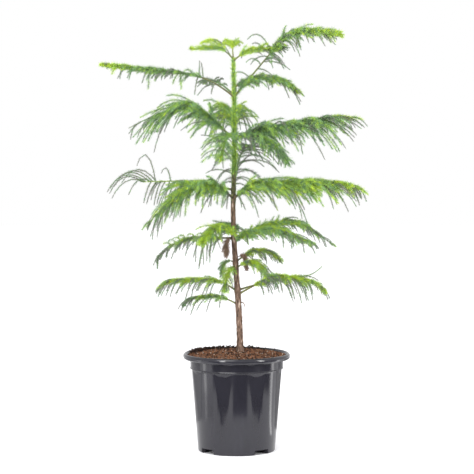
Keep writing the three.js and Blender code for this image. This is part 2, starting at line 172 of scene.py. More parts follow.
# Stems and branchlets
STEM_STOUTEST = 2.1
STEM_STOUT_REACH = 200.0
STEM_THIN = 0.9
STEM_END = 0.7
CURL_FROM = 0.7
FROND_STEPS = 96
DROOP_STEPS = 6
BRANCHLET_LAST = 0.95
BRANCHLET_LIMIT = 0.99
BRANCHLET_SIDES = 3
TWIG_END = 0.4
RANKS_APART = 0.25
LEAN_BASE = 46.0
LEAN_TIP = 29.0
SAG_POWER = 1.3
SAG_FULL_LENGTH = 45.0
SPREAD_BASE = 0.78
SPREAD_GROWN_BY = 0.22
SPREAD_FADE_FROM = 0.45
SPREAD_FADE = 0.72
SPREAD_POWER = 1.2

# Chance in a branchlet's place, directions, length and sag
PLACE_CHANCE = 0.3
ANGLE_CHANCE = 24.0
LENGTH_CHANCE = (0.65, 1.1)
SAG_CHANCE = (0.45, 1.5)

# Where along a frond the shares of old and lost branchlets change: start and span
AGE_TURN = (0.3, 0.6)

# Fresh branchlets droop less. Old ones have their own length, sag, needle length, twig and tone.
FRESH_SAG = 0.62
OLD_LENGTH = 1.12
OLD_SAG = 1.15
OLD_NEEDLE = 0.57
OLD_TWIG = 1.8
OLD_TONE = 3.6

# Needle tones from the freshest to the greyest, how many sprays a branchlet has, and chance in tone
TONES = ("lime", "bright", "leaf", "deep", "slate")
SPRAYS = 12
SPRAY_CHANCE = 1.0
BRANCHLET_CHANCE = 0.5

# Where tones change, start and span: along the frond inside, on its stem and, in part, at the
# branchlets' ends, and outwards along a branchlet
INNER_TURN = (0.6, 0.3)
STEM_TURN = (0.55, 0.35)
ENDS_TURN = (0.7, 0.25)
ENDS_SHARE = 0.75
OUTWARD_TURN = (0.1, 0.6)

# Painted shade: how much deeper the needles' tone is at the trunk, where shade falls among the fronds, and
# to which share of the frond
PAINTED_SHADE_TONE = 1.0
PAINTED_SHADE_REACH = 0.3

# Branchlets are longer and shorter by turns, in tufts of about these lengths of stem
TUFTS = (36.0, 22.0)
TUFT_SHORT = 0.72
TUFT_LONG = 1.3

# Needles stand out from a branchlet and close in only over its end. Tilts are at the root and the tip.
TILT_POWER = 7
BRANCHLET_TILTS = (60, 24)
STEM_TILTS = (58, 52)
STALK_TILTS = (40, 45)
TRUNK_TILTS = (62, 40)
NEEDLES_A_PIECE = 60000

# Needles and tubes that rise more than this have their sides square to X, and others square to Z
STEEP = 0.95
TUBE_STEEP = 0.97

# Needles start inside the bark and are shorter at the end. Chance in their turn, tilt, length and width.
NEEDLE_SUNK = 0.7
NEEDLE_END_LOSS = 0.3
NEEDLE_END_POWER = 4
NEEDLE_TURN_CHANCE = 0.5
NEEDLE_TILT_CHANCE = 8.0
NEEDLE_LENGTH_CHANCE = (0.5, 1.15)
NEEDLE_WIDTH_CHANCE = (0.85, 1.15)

# Needle sizes and gaps on stems and stalks, against those on branchlets. Stems are clad in
# stretches, and less where branchlets are lost.
STEM_STRETCHES = 8
STEM_THINNED = 0.8
STEM_OLD_NEEDLE = 0.45
STEM_GAP = 0.4
STALK_NEEDLE = 0.45
STALK_GAP = 2.0
STALK_FROM = 0.02
STALK_LEAST = 0.04

# Needles on the trunk: sizes and gap against those on branchlets, tones in bands below and even
# above, and which share is kept and how long it is below and above
TRUNK_NEEDLE = 1.1
TRUNK_NEEDLE_WIDTH = 1.2
TRUNK_NEEDLE_GAP = 0.2
TRUNK_NEEDLE_STEPS = 240
TRUNK_BAND = 4.0
TRUNK_BAND_CHANCE = 2.4
TRUNK_OLD_TONE = 2.6
TRUNK_YOUNG_TONE = 1.0
TRUNK_TONE_CHANCE = 1.2
TRUNK_TONE_TURN = (0.1, 0.2)
TRUNK_YOUNG_TURN = (0.1, 0.25)
TRUNK_KEPT = (0.22, 0.6)
TRUNK_LENGTHS = (0.75, 1.05)

# Dead sprays, and a stub's radius at its root and its end
DEAD_SEED = 100
DEAD_TWIG = 0.7
DEAD_SIDES = 4
STUB_RADII = (1.3, 0.5)

# Pot, turned about Z. Angles count from the front, positive to the right.
POT_HEIGHT = 228.0
POT_FOOT_RADIUS = 90.0
POT_BODY_TOP = 194.0
POT_BODY_RADIUS = 105.6
POT_NECK_FOOT = 109.4
POT_NECK_RADIUS = 108.6
POT_LIP_FOOT = 215.0
POT_LIP_RADIUS = 125.0
POT_MOUTH_RADIUS = 119.0
LIP_BULGE = 5.0
LIP_ROUND = 0.95
POT_COLUMNS = 320
RIB_COUNT = 8
RIB_FROM = 5.0
PANEL_FOOT = 52.0
PANEL_POWER = 1.8
PANEL_TOP = 191.0
PANEL_DEEPEST = 2.4
PANEL_SLOPE = 0.26
PANEL_BLEND = 0.12
DRAIN_COUNT = 4
DRAIN_FROM = 40.0
DRAIN_HALF = 13.0
DRAIN_HEIGHT = 11.0
DRAIN_INNER = 77.5
RECESS = 11.0
POT_SHARP_ANGLE = 24.0

# Soil in the pot: a dome, then radii and heights under it, and the lumps' size and stretch
SOIL_EDGE = 222.0
SOIL_TOP = 229.9
SOIL_RIM = 115.2
SOIL_FLAT_RADIUS = 30.0
SOIL_MIDDLE = 0.2
SOIL_ROWS = 56
SOIL_COLUMNS = 160
SOIL_UNDER = ((105.0, 212.0), (98.0, 192.0), (85.0, 15.0), (0.2, 15.0))
SOIL_ROUGHNESS = 1.3
SOIL_LUMPS = (6.0, 1.0)

# Crumbs: margin to the lip, spread and limits of sizes, lift by size, colours, and chance in shape
CRUMB_MARGIN = 1.5
CRUMB_SHAPE = 2.0
CRUMB_SCALE = 0.45
CRUMB_LEAST = 0.65
CRUMB_MOST = 3.2
CRUMB_LIFT = (-0.2, 0.55)
CRUMBS = ("russet", "dark", "pale")
CRUMB_SHARES = (0.44, 0.44, 0.12)
CRUMB_PALE_SIZE = 0.6
CRUMB_CORNERS = (0.55, 1.25)
CRUMB_SIDES = (0.6, 1.2)

# Clods: angles off the front, places, sizes and lift
CLOD_COUNT = 380
CLOD_ANGLES = (115, 265)
CLOD_RADII = (92, 113)
CLOD_SIZES = (1.4, 3.6)
CLOD_LIFT = 9.0

# Fibres: margin to the lip, lift, slopes, half lengths, bend and thickness
FIBRE_MARGIN = 9
FIBRE_EDGE = 1
FIBRE_LIFT = 1.6
FIBRE_SLOPES = (-8, 22)
FIBRE_BEND_SLOPES = (-10, 30)
FIBRE_HALVES = (2.5, 8.0)
FIBRE_BEND = 0.3
FIBRE_STEPS = 6
FIBRE_RADIUS = 0.32
FIBRE_SIDES = 3

# What colours and lengths have in common in the sidebar
COLOUR = {"subtype": "COLOR", "size": 3, "min": 0.0, "max": 1.0}
LENGTH = {"unit": "LENGTH", "precision": 4}


class Stray(NamedTuple):
    """A branchlet that leaves the ranks: where on the frond, its length, direction, sag and age."""

    at: float
    length: float
    turn: float
    rise: float
    sag: float
    old: bool = True


class Frond(NamedTuple):
    """A frond. z: height on the trunk. turn: direction, 0 to the right and 90 to the back.

    reach: length of the stem. rise and tip: slope before and after the bend, whose start and end
    are shares of the reach. curl: added slope at the end. bare: stalk with no branchlets. fan: the
    longest branchlets. lift: how far these rise off the frond's plane. sag: how strongly they
    droop. tones: on the stem, at the branchlets' ends and at the frond's end. old and gone: shares
    of old, thinly clad branchlets and of lost ones at the trunk and at the tip. spacing: between
    branchlets on a side. fresh: length of fresh branchlets against the fan. strays: branchlets
    that leave the ranks.
    """

    name: str
    z: float
    turn: float
    reach: float
    rise: float
    tip: float
    bend: tuple
    curl: float
    bare: float
    fan: float
    lift: float
    sag: float
    tones: tuple
    old: tuple = (0.0, 0.0)
    gone: tuple = (0.0, 0.0)
    spacing: float = 3.0
    fresh: float = 0.85
    strays: tuple = ()


# The fronds' tones are partly the needles' own colour by age and partly painted light and shade: on most
# fronds lighter along the stems, which the light reaches from above, and deeper on the hanging branchlet
# ends and on the fronds at the back
FRONDS = (
    Frond("crest_left", 911, 165, 108, 50, 0, (0, 0.5), 0, 22, 24, 50, 0.9,
          (1.2, 0.3, 0.0), (0.1, 0.0), (0.4, 0.4), 4.0, 0.95,
          (Stray(0.06, 78, 164, 62, 1.25), Stray(0.2, 64, 158, 60, 1.3, False),
           Stray(0.25, 62, 170, 56, 1.25, False), Stray(0.3, 56, 150, 54, 1.2, False),
           Stray(0.35, 52, 178, 50, 1.2, False), Stray(0.4, 46, 164, 46, 1.1, False))),
    Frond("crest_right", 907, 14, 126, 40, 6, (0, 0.45), 0, 15, 42, 24, 1.3,
          (0.3, 0.5, 3.0), (0.1, 0.6), (0.0, 0.0), 3.6, 0.95,
          (Stray(0.72, 74, 188, 66, 1.5), Stray(0.8, 40, 40, 30, 1.0), Stray(0.85, 30, 350, 40, 1.5),
           Stray(0.6, 34, 190, 60, 1.6))),
    Frond("crest_back", 913, 95, 66, 62, 16, (0, 0.8), 0, 26, 42, 24, 1.4,
          (0.4, 0.4, 0.2), (0.0, 0.0), (0.0, 0.0), 4.5, 0.9),
    Frond("top_left", 824, 186, 322, 38, 6, (0, 0.45), 0, 84, 36, 20, 1.7,
          (2.1, 1.8, -0.6), (0.6, 0.1), (0.55, 0.0), 2.7, 1.0,
          (Stray(0.25, 36, 120, 80, 0.7), Stray(0.28, 36, 60, 88, 0.6), Stray(0.29, 44, 240, -60, 1.5),
           Stray(0.32, 34, 190, 62, 2.2, False), Stray(0.35, 30, 200, -20, 2.0, False),
           Stray(0.42, 40, 280, -50, 2.0, False), Stray(0.43, 32, 230, -30, 2.0, False),
           Stray(0.44, 38, 184, 48, 2.4, False), Stray(0.52, 38, 190, 44, 2.4, False),
           Stray(0.6, 34, 180, 42, 2.4, False), Stray(0.62, 30, 230, -30, 2.0, False),
           Stray(0.64, 46, 260, -60, 2.0, False), Stray(0.65, 34, 200, -50, 2.0),
           Stray(0.76, 36, 250, -30, 1.6), Stray(0.8, 38, 220, -20, 1.6), Stray(0.84, 34, 260, -40, 1.6),
           Stray(0.16, 34, 250, -30, 1.6), Stray(0.88, 26, 240, -30, 1.6, False))),
    Frond("top_right", 824, 8, 312, 50, 2, (0.42, 0.8), -12, 124, 60, 24, 1.8,
          (1.5, 1.2, 0.0), (0.4, 0.1), (0.0, 0.0), 2.8, 0.85,
          (Stray(0.0, 60, 8, 52, 0.1, False), Stray(0.01, 56, -8, 48, 0.1, False),
           Stray(0.02, 52, 20, 46, 0.1, False), Stray(0.04, 46, 0, 50, 0.1, False),
           Stray(0.33, 66, 0, 6, 1.0), Stray(0.17, 50, 186, 48, 1.5), Stray(0.3, 44, 200, 52, 1.6),
           Stray(0.36, 40, 300, -10, 1.5), Stray(0.41, 50, 20, -30, 1.0),
           Stray(0.44, 40, 260, -30, 1.5, False), Stray(0.38, 46, 180, 10, 1.6),
           Stray(0.42, 52, 340, -20, 1.6), Stray(0.26, 40, 350, 0, 1.4), Stray(0.36, 50, 330, 20, 1.6),
           Stray(0.39, 44, 30, 10, 1.8), Stray(0.34, 40, 10, 30, 1.6),
           Stray(0.66, 36, 300, -50, 2.0, False), Stray(0.68, 32, 240, -60, 2.0, False),
           Stray(0.88, 30, 320, -40, 1.6, False), Stray(0.92, 26, 40, -40, 1.6, False))),
    Frond("top_back_right", 846, 28, 186, 26, -32, (0, 0.95), 0, 6, 46, 10, 1.6,
          (1.8, 1.6, 0.0), (0.1, 0.1), (0.0, 0.0), 2.9, 0.95,
          (Stray(0.72, 62, 10, -35, 0.8), Stray(0.8, 56, 30, -45, 0.8), Stray(0.66, 60, 300, -30, 0.9),
           Stray(0.02, 44, 10, 40, 1.2, False), Stray(0.05, 46, 350, 28, 1.2, False),
           Stray(0.03, 40, 0, 14, 1.0, False), Stray(0.08, 44, 20, 34, 1.2, False))),
    Frond("top_back_left", 828, 112, 200, 20, 2, (0, 1), -20, 20, 50, 15, 1.0,
          (3.4, 3.6, 2.0), (1.0, 0.8), (0.85, 0.1), 7.0, 0.85),
    Frond("high_left", 727, 188, 276, 40, -17, (0.3, 0.55), -12, 30, 116, 2, 1.8,
          (1.7, 1.8, 3.4), (0.1, 1.0), (0.0, 0.95), 2.8, 0.95),
    Frond("high_right", 722, -8, 298, 32, 10, (0, 0.25), -20, 20, 108, 4, 1.6,
          (2.4, 1.8, -0.2), (0.1, 0.45), (0.0, 0.72), 3.0, 0.86,
          (Stray(0.5, 92, -34, -14, 1.1, False), Stray(0.54, 98, 14, -20, 1.2, False),
           Stray(0.57, 104, -22, -22, 1.2, False), Stray(0.6, 100, 6, -26, 1.2, False),
           Stray(0.62, 96, -30, -16, 1.1, False), Stray(0.66, 84, 10, -8, 0.9, False),
           Stray(0.7, 78, -16, -4, 0.8, False), Stray(0.52, 104, -10, -44, 0.9),
           Stray(0.64, 100, -20, -24, 1.0), Stray(0.7, 92, 12, -18, 0.9),
           Stray(0.75, 80, -24, -14, 0.8), Stray(0.79, 70, 4, -8, 0.7))),
    Frond("high_back", 730, 95, 225, 45, -8, (0.1, 0.7), -15, 25, 100, 26, 2.3,
          (1.2, 1.1, 0.6), (0.3, 0.2), (0.0, 0.0), 5.4, 0.85),
    Frond("high_front_left", 733, 258, 165, 8, -44, (0, 0.9), 0, 15, 60, 6, 1.7,
          (1.6, 1.8, 1.6), (0.3, 0.4), (0.3, 0.0), 7.5, 0.8,
          (Stray(0.2, 60, 184, 10, 1.4, False), Stray(0.3, 66, 176, 16, 1.4, False),
           Stray(0.4, 62, 190, 10, 1.5), Stray(0.5, 66, 180, 14, 1.5, False), Stray(0.6, 60, 172, 16, 1.5),
           Stray(0.7, 58, 186, 12, 1.5, False), Stray(0.8, 54, 178, 16, 1.5),
           Stray(0.9, 50, 184, 18, 1.5, False))),
    Frond("high_front_right", 732, -48, 200, 8, -46, (0, 1), 0, 15, 66, 0, 1.7,
          (1.8, 2.0, 2.2), (0.25, 0.4), (0.0, 0.2), 4.6, 0.84),
    Frond("mid_left", 608, 163, 222, 13, -2, (0.1, 0.7), 0, 14, 80, 10, 3.0,
          (0.6, 2.6, 1.0), (0.9, 1.0), (0.3, 1.0), 10.0, 0.5,
          (Stray(0.85, 105, 163, 80, 1.6), Stray(0.68, 52, 163, 80, 1.6), Stray(0.84, 118, 150, 46, 1.8),
           Stray(0.88, 122, 158, 44, 1.9), Stray(0.92, 118, 166, 42, 2.0), Stray(0.96, 112, 178, 38, 2.1),
           Stray(1.0, 104, 160, 34, 2.2), Stray(0.9, 90, 140, 24, 2.2), Stray(0.97, 98, 190, 24, 2.3),
           Stray(0.62, 54, 200, -50, 2.0), Stray(0.69, 58, 240, -50, 2.0), Stray(0.74, 56, 190, -55, 2.0),
           Stray(0.79, 60, 230, -50, 2.0), Stray(0.84, 58, 180, -50, 2.0), Stray(0.9, 54, 220, -50, 2.0),
           Stray(0.55, 58, 260, -60, 2.0), Stray(0.5, 62, 200, -60, 2.0))),
    Frond("mid_front_left", 590, 206, 256, 32, -36, (0.05, 0.6), -16, 8, 90, 6, 1.6,
          (1.0, 1.5, 1.8), (0.1, 0.8), (0.0, 0.85), 2.4, 0.9,
          (Stray(0.82, 64, 206, -60, 3.0), Stray(0.02, 44, 190, 36, 1.0, False),
           Stray(0.05, 50, 216, 30, 1.1, False), Stray(0.08, 52, 184, 26, 1.2, False),
           Stray(0.03, 30, 220, -40, 1.6), Stray(0.08, 40, 250, -40, 2.0, False))),
    Frond("mid_right", 588, -6, 306, 40, 2, (0.02, 0.26), -22, 8, 108, 6, 1.6,
          (1.2, 1.1, 0.2), (0.1, 0.4), (0.0, 0.6), 2.4, 0.9,
          (Stray(0.02, 46, 4, 42, 0.9, False), Stray(0.04, 50, -16, 36, 1.0, False),
           Stray(0.07, 54, 10, 34, 1.1, False), Stray(0.1, 56, -24, 30, 1.2, False),
           Stray(0.02, 40, -30, -40, 1.5), Stray(0.04, 34, -70, -50, 1.2),
           Stray(0.06, 46, -14, -20, 2.2, False), Stray(0.09, 50, -30, 0, 2.2))),
    Frond("mid_back", 616, 76, 215, 52, 0, (0.1, 0.9), -15, 25, 90, 10, 0.9,
          (3.2, 3.2, 2.6), (1.0, 0.9), (0.5, 0.0), 11.0, 0.85,
          (Stray(0.01, 30, 10, 18, 2.0), Stray(0.06, 46, -14, 32, 2.2), Stray(0.09, 64, 4, 18, 2.0),
           Stray(0.15, 74, -4, 32, 2.0, False), Stray(0.2, 70, 16, 14, 1.8), Stray(0.28, 108, 6, 26, 1.5),
           Stray(0.4, 98, -6, 18, 1.6, False), Stray(0.5, 100, -6, 24, 1.8), Stray(0.66, 86, 6, 28, 1.8),
           Stray(0.02, 30, 176, 32, 2.4), Stray(0.08, 44, 192, 22, 2.6, False),
           Stray(0.15, 58, 168, 38, 2.6),
           Stray(0.2, 62, 196, 20, 2.2), Stray(0.31, 74, 182, 34, 2.0, False), Stray(0.42, 76, 172, 26, 2.0),
           Stray(0.55, 70, 184, 28, 2.0, False))),
    Frond("low_left", 496, 170, 216, 0, -30, (0.3, 0.7), -60, 20, 44, 5, 1.9,
          (0.3, 1.3, 3.2), (0.4, 0.7), (0.0, 0.7), 4.6, 0.55,
          (Stray(0.2, 46, 240, -50, 2.0), Stray(0.27, 56, 270, -60, 2.0), Stray(0.33, 50, 200, -50, 2.0),
           Stray(0.38, 58, 260, -60, 2.0), Stray(0.44, 44, 220, -50, 2.0), Stray(0.55, 26, 250, -40, 2.0),
           Stray(0.72, 24, 250, -40, 2.0), Stray(0.8, 22, 200, -40, 2.0),
           Stray(0.3, 24, 190, 66, 2.8, False), Stray(0.4, 24, 170, 60, 2.8, False),
           Stray(0.5, 26, 190, 60, 2.8, False), Stray(0.56, 24, 170, 56, 2.8, False),
           Stray(0.62, 24, 200, 56, 2.8, False), Stray(0.68, 22, 180, 52, 2.8, False))),
    Frond("low_front_left", 503, 238, 150, 32, -28, (0.05, 0.7), 0, 6, 52, 4, 1.5,
          (0.5, 0.7, 0.4), (0.1, 0.2), (0.0, 0.0), 3.5, 0.9,
          (Stray(0.55, 66, 230, -60, 2.0), Stray(0.65, 74, 260, -60, 2.0), Stray(0.75, 82, 210, -60, 2.0),
           Stray(0.85, 70, 240, -50, 2.0), Stray(0.95, 56, 280, -50, 2.0))),
    Frond("low_right", 498, 14, 262, 16, -34, (0.3, 0.8), 0, 8, 56, 18, 1.5,
          (0.2, 1.4, 2.0), (0.1, 0.8), (0.0, 0.93), 2.9, 0.9,
          (Stray(0.2, 22, 14, 76, 1.2, False), Stray(0.26, 22, 60, 70, 1.2, False),
           Stray(0.32, 24, -30, 72, 1.2, False), Stray(0.38, 22, 30, 74, 1.2, False),
           Stray(0.02, 20, 280, -20, 1.0), Stray(0.03, 22, 330, -30, 1.0), Stray(0.05, 24, 300, -10, 1.2))),
    Frond("low_front_right", 490, -32, 222, 24, -17, (0.1, 0.7), 0, 8, 54, 8, 1.6,
          (0.2, 1.7, 1.2), (0.1, 0.5), (0.0, 0.4), 3.2, 0.88),
    Frond("low_back", 499, 98, 200, 16, -10, (0, 1), -15, 15, 56, 8, 1.5,
          (2.0, 2.4, 1.8), (0.4, 0.4), (0.0, 0.0), 6.0, 0.8),
    Frond("short_right", 440, 24, 126, 32, -24, (0.1, 0.8), -30, 10, 46, 6, 1.7,
          (-0.7, 0.8, 0.0), (0.35, 0.35), (0.0, 0.1), 4.0, 0.75),
    Frond("short_front_right", 426, -38, 100, 28, -40, (0.1, 0.8), -30, 10, 46, 6, 1.7,
          (-0.7, 1.0, 0.4), (0.4, 0.5), (0.0, 0.0), 4.2, 0.75),
    Frond("short_left", 440, 150, 50, 10, -75, (0, 0.8), 0, 8, 34, 0, 1.5,
          (1.2, 2.4, 2.4), (0.4, 0.4), (0.0, 0.0), 5.0, 0.7),
    Frond("short_front_left", 434, 240, 80, -18, -75, (0, 0.8), 0, 8, 34, 0, 1.5,
          (0.2, 1.0, 0.8), (0.2, 0.2), (0.0, 0.0), 5.0, 0.75),
    Frond("base_left", 371, 190, 196, 34, 0, (0, 0.45), -48, 34, 64, 12, 2.3,
          (-0.5, 1.1, 0.2), (0.35, 0.35), (0.0, 0.0), 3.8, 0.54),
    Frond("base_right", 364, -10, 224, 29, -8, (0.3, 0.5), -42, 38, 66, 10, 2.3,
          (-0.6, 1.1, 0.6), (0.35, 0.4), (0.0, 0.0), 3.8, 0.54),
    Frond("base_back_right", 374, 20, 216, 14, 0, (0.2, 0.8), 42, 40, 42, 8, 1.7,
          (0.2, 1.4, 3.0), (0.3, 1.0), (0.0, 0.97), 4.4, 0.65),
    Frond("foot_left", 340, 176, 136, 27, -6, (0, 0.6), -55, 20, 54, 8, 2.1,
          (0.2, 1.9, 2.2), (0.3, 0.5), (0.0, 0.0), 5.0, 0.5),
)

# Dead sprays that hang folded against the trunk, and a bare stub
DEAD = (
    Frond("dead_left", 491, 205, 48, 20, -86, (0, 0.4), 0, 6, 24, 0, 3, (0, 0, 0)),
    Frond("dead_right", 449, -6, 46, 25, -80, (0.1, 0.5), 0, 6, 22, 0, 3, (0, 0, 0)),
)
STUB = Frond("stub", 346, 0, 17, -5, -80, (0, 0.7), 0, 0, 0, 0, 0, (0, 0, 0))


class PottedPineFoliage(PropertyGroup):
    """Sizes and tones of branchlets and needles."""

    needle_length: FloatProperty(
        name="Needle Length", description="Length of a full needle", default=0.0096, **LENGTH)
    needle_width: FloatProperty(
        name="Needle Width", description="Width of a needle at its root", default=0.0011,
        precision=5, unit="LENGTH")
    needle_gap: FloatProperty(
        name="Needle Gap", description="Length of branchlet for each needle", default=0.00056,
        precision=5, unit="LENGTH")
    twig_radius: FloatProperty(
        name="Twig Radius", description="Radius of a branchlet at its root", default=0.0006, **LENGTH)
    lime: FloatVectorProperty(
        name="Lime", description="Fresh needles at the tips and the crest", default=(0.43, 0.585, 0.052),
        **COLOUR)
    bright: FloatVectorProperty(
        name="Bright", description="Young needles on the upper sides", default=(0.28, 0.455, 0.085),
        **COLOUR)
    leaf: FloatVectorProperty(
        name="Leaf", description="Grown needles", default=(0.19, 0.335, 0.132), **COLOUR)
    # Deep is the old needles' own colour, and also the tone that the painted shade gives many needles near
    # the trunk
    deep: FloatVectorProperty(
        name="Deep", description="Old needles near the trunk", default=(0.115, 0.21, 0.1), **COLOUR)
    slate: FloatVectorProperty(
        name="Slate", description="Grey-green needles on hanging branchlets", default=(0.19, 0.195, 0.172),
        **COLOUR)
    dead: FloatVectorProperty(
        name="Dead", description="Dead needles by the trunk", default=(0.27, 0.185, 0.135), **COLOUR)
    twig: FloatVectorProperty(
        name="Twig", description="Branchlets and stems", default=(0.13, 0.19, 0.07), **COLOUR)


class PottedPineBark(PropertyGroup):
    """Relief and colours of the trunk and the boughs."""

    relief: FloatProperty(
        name="Relief", description="Height of the bark's ridges", default=0.0005, **LENGTH)
    brown_top: FloatProperty(
        name="Brown To", description="Height at which the bark turns green", default=0.575, unit="LENGTH")
    green_from: FloatProperty(
        name="Green From", description="Height from which the stem is green", default=0.65, unit="LENGTH")
    brown: FloatVectorProperty(
        name="Brown", description="Old bark", default=(0.15, 0.095, 0.068), **COLOUR)
    olive: FloatVectorProperty(
        name="Olive", description="Young bark and boughs", default=(0.11, 0.105, 0.05), **COLOUR)
    green: FloatVectorProperty(
        name="Green", description="This year's stem", default=(0.09, 0.17, 0.025), **COLOUR)


class PottedPinePot(PropertyGroup):
    """Pot and soil."""

    panel_depth: FloatProperty(
        name="Panel Depth", description="How deep the flat panels lie at their top",
        default=PANEL_DEEPEST * MM, **LENGTH)
    plastic: FloatVectorProperty(
        name="Plastic", description="Pot plastic", default=(0.0125, 0.012, 0.017), **COLOUR)
    crumbs: IntProperty(
        name="Crumbs", description="Number of crumbs on the soil", default=9500, min=0)
    fibres: IntProperty(
        name="Fibres", description="Number of coco fibres on the soil", default=220, min=0)
    russet: FloatVectorProperty(
        name="Russet", description="Main colour of the soil", default=(0.185, 0.085, 0.045), **COLOUR)
    dark: FloatVectorProperty(
        name="Dark", description="Damp crumbs", default=(0.034, 0.019, 0.014), **COLOUR)
    pale: FloatVectorProperty(
        name="Pale", description="Dry specks", default=(0.72, 0.6, 0.5), **COLOUR)


class PottedPineStage(PropertyGroup):
    """Floor, light and camera."""

    floor: FloatVectorProperty(
        name="Floor", description="Floor colour", default=(0.9, 0.9, 0.92), **COLOUR)
    sky_strength: FloatProperty(
        name="Sky Strength", description="Strength of the even white light", default=1.0, min=0.0)
    key_power: FloatProperty(
        name="Key Power", description="Power of the large light", default=70.0, min=0.0, unit="POWER")
    strip_power: FloatProperty(
        name="Strip Power", description="Power of each tall side light", default=34.0, min=0.0, unit="POWER")
    camera_distance: FloatProperty(
        name="Camera Distance", description="From the pot's middle to the camera", default=4.5,
        unit="LENGTH")
    camera_height: FloatProperty(
        name="Camera Height", description="Height of the camera", default=0.79, unit="LENGTH")
    camera_pitch: FloatProperty(
        name="Camera Pitch", description="How far the camera looks down", default=math.radians(3.7),
        subtype="ANGLE")


def mix(a, b, share):
    return a + (b - a) * share


def smooth(x):
    x = np.clip(x, 0.0, 1.0)
    return x * x * (3.0 - 2.0 * x)


def ease(x, start, span):
    """0 up to a start, 1 from a span later on, and smooth between."""
    return smooth((x - start) / span)


def unit(vectors):
    return vectors / np.linalg.norm(vectors, axis=-1, keepdims=True)


def square_to(ways, steep):
    """Unit directions square to others: level ones, unless those are steep."""
    return unit(np.cross(ways, np.where(steep, RIGHT, UP)))


def heading(turn, rise):
    """Unit direction from a turn about Z and a rise above level, in degrees."""
    turn, rise = np.broadcast_arrays(np.radians(turn), np.radians(rise))
    level = np.cos(rise)
    return np.stack([np.cos(turn) * level, np.sin(turn) * level, np.sin(rise)], axis=-1)


def trunk_point(share):
    share = np.asarray(share, float)
    x = TRUNK_FOOT_X + TRUNK_LEAN * (1 - np.cos(math.pi * np.minimum(1, share / TRUNK_LEAN_BY))) / 2
    past = np.clip((share - TRUNK_LEAN_BY) / (1 - TRUNK_LEAN_BY), 0, 1)
    x = x + TRUNK_SWAY * np.sin(math.pi * past)
    y = TRUNK_FOOT_Y * (1 - TRUNK_BACK_SHIFT * share)
    return np.stack([x, y, mix(TRUNK_FOOT, TRUNK_TIP, share)], axis=-1)


def trunk_radius(share):
    height = np.asarray(share, float) * (TRUNK_TIP - TRUNK_FOOT)
    flare = TRUNK_FLARE * np.exp(-height / TRUNK_FLARE_HEIGHT)
    return mix(TRUNK_FOOT_RADIUS, TRUNK_TIP_RADIUS, share) + flare


def trunk_share(z):
    return (z - TRUNK_FOOT) / (TRUNK_TIP - TRUNK_FOOT)


def slope_at(frond, share):
    start, end = frond.bend
    bent = (frond.tip - frond.rise) * ease(share, start, end - start)
    return frond.rise + bent + frond.curl * ease(share, CURL_FROM, 1 - CURL_FROM)


def stem_radius(frond, share):
    stout = mix(STEM_THIN, STEM_STOUTEST, min(1.0, frond.reach / STEM_STOUT_REACH))
    return mix(stout, STEM_THIN * STEM_END, share)


def frond_axis(frond):
    """Points of a frond's line, from the trunk's wall to its tip."""
    share = trunk_share(frond.z)
    root = trunk_point(share) + heading(frond.turn, frond.rise) * trunk_radius(share)
    middles = (np.arange(FROND_STEPS) + 0.5) / FROND_STEPS
    steps = heading(frond.turn, slope_at(frond, middles)) * frond.reach / FROND_STEPS
    return np.vstack([root, root + np.cumsum(steps, axis=0)])


def on_line(line, shares):
    """Points and directions at shares of a line's length."""
    places = np.linspace(0, 1, len(line))
    points = np.stack([np.interp(shares, places, line[:, k]) for k in range(3)], axis=-1)
    slopes = np.gradient(line, axis=0)
    ways = np.stack([np.interp(shares, places, slopes[:, k]) for k in range(3)], axis=-1)
    return points, unit(ways)


def spread(share):
    """How long the branchlets are at a share of the leafy stretch, against the longest."""
    grown = mix(SPREAD_BASE, 1.0, np.sin(math.pi / 2 * np.minimum(1, share / SPREAD_GROWN_BY)))
    past = np.maximum(0, share - SPREAD_FADE_FROM) / (1 - SPREAD_FADE_FROM)
    return grown * (1 - SPREAD_FADE * past**SPREAD_POWER)


def droop(roots, starts, lengths, sags):
    """Lines of branchlets that leave the stem along their starts and bend down."""
    weights = (sags * np.minimum(1, lengths / SAG_FULL_LENGTH))[:, None]
    middles = (np.arange(DROOP_STEPS) + 0.5) / DROOP_STEPS
    pulls = weights * middles**SAG_POWER
    ways = unit(starts[:, None, :] - UP * pulls[:, :, None])
    steps = np.cumsum(ways * (lengths / DROOP_STEPS)[:, None, None], axis=1)
    return np.concatenate([roots[:, None, :], roots[:, None, :] + steps], axis=1)


class Growth(NamedTuple):
    """A grown frond: its line and, for each branchlet, its line, length, share on the frond and age."""

    axis: np.ndarray
    lines: np.ndarray
    lengths: np.ndarray
    shares: np.ndarray
    old: np.ndarray


def share_at(ends, shares):
    """A share that goes from its value at the trunk to that at the tip."""
    return mix(*ends, ease(shares, *AGE_TURN))


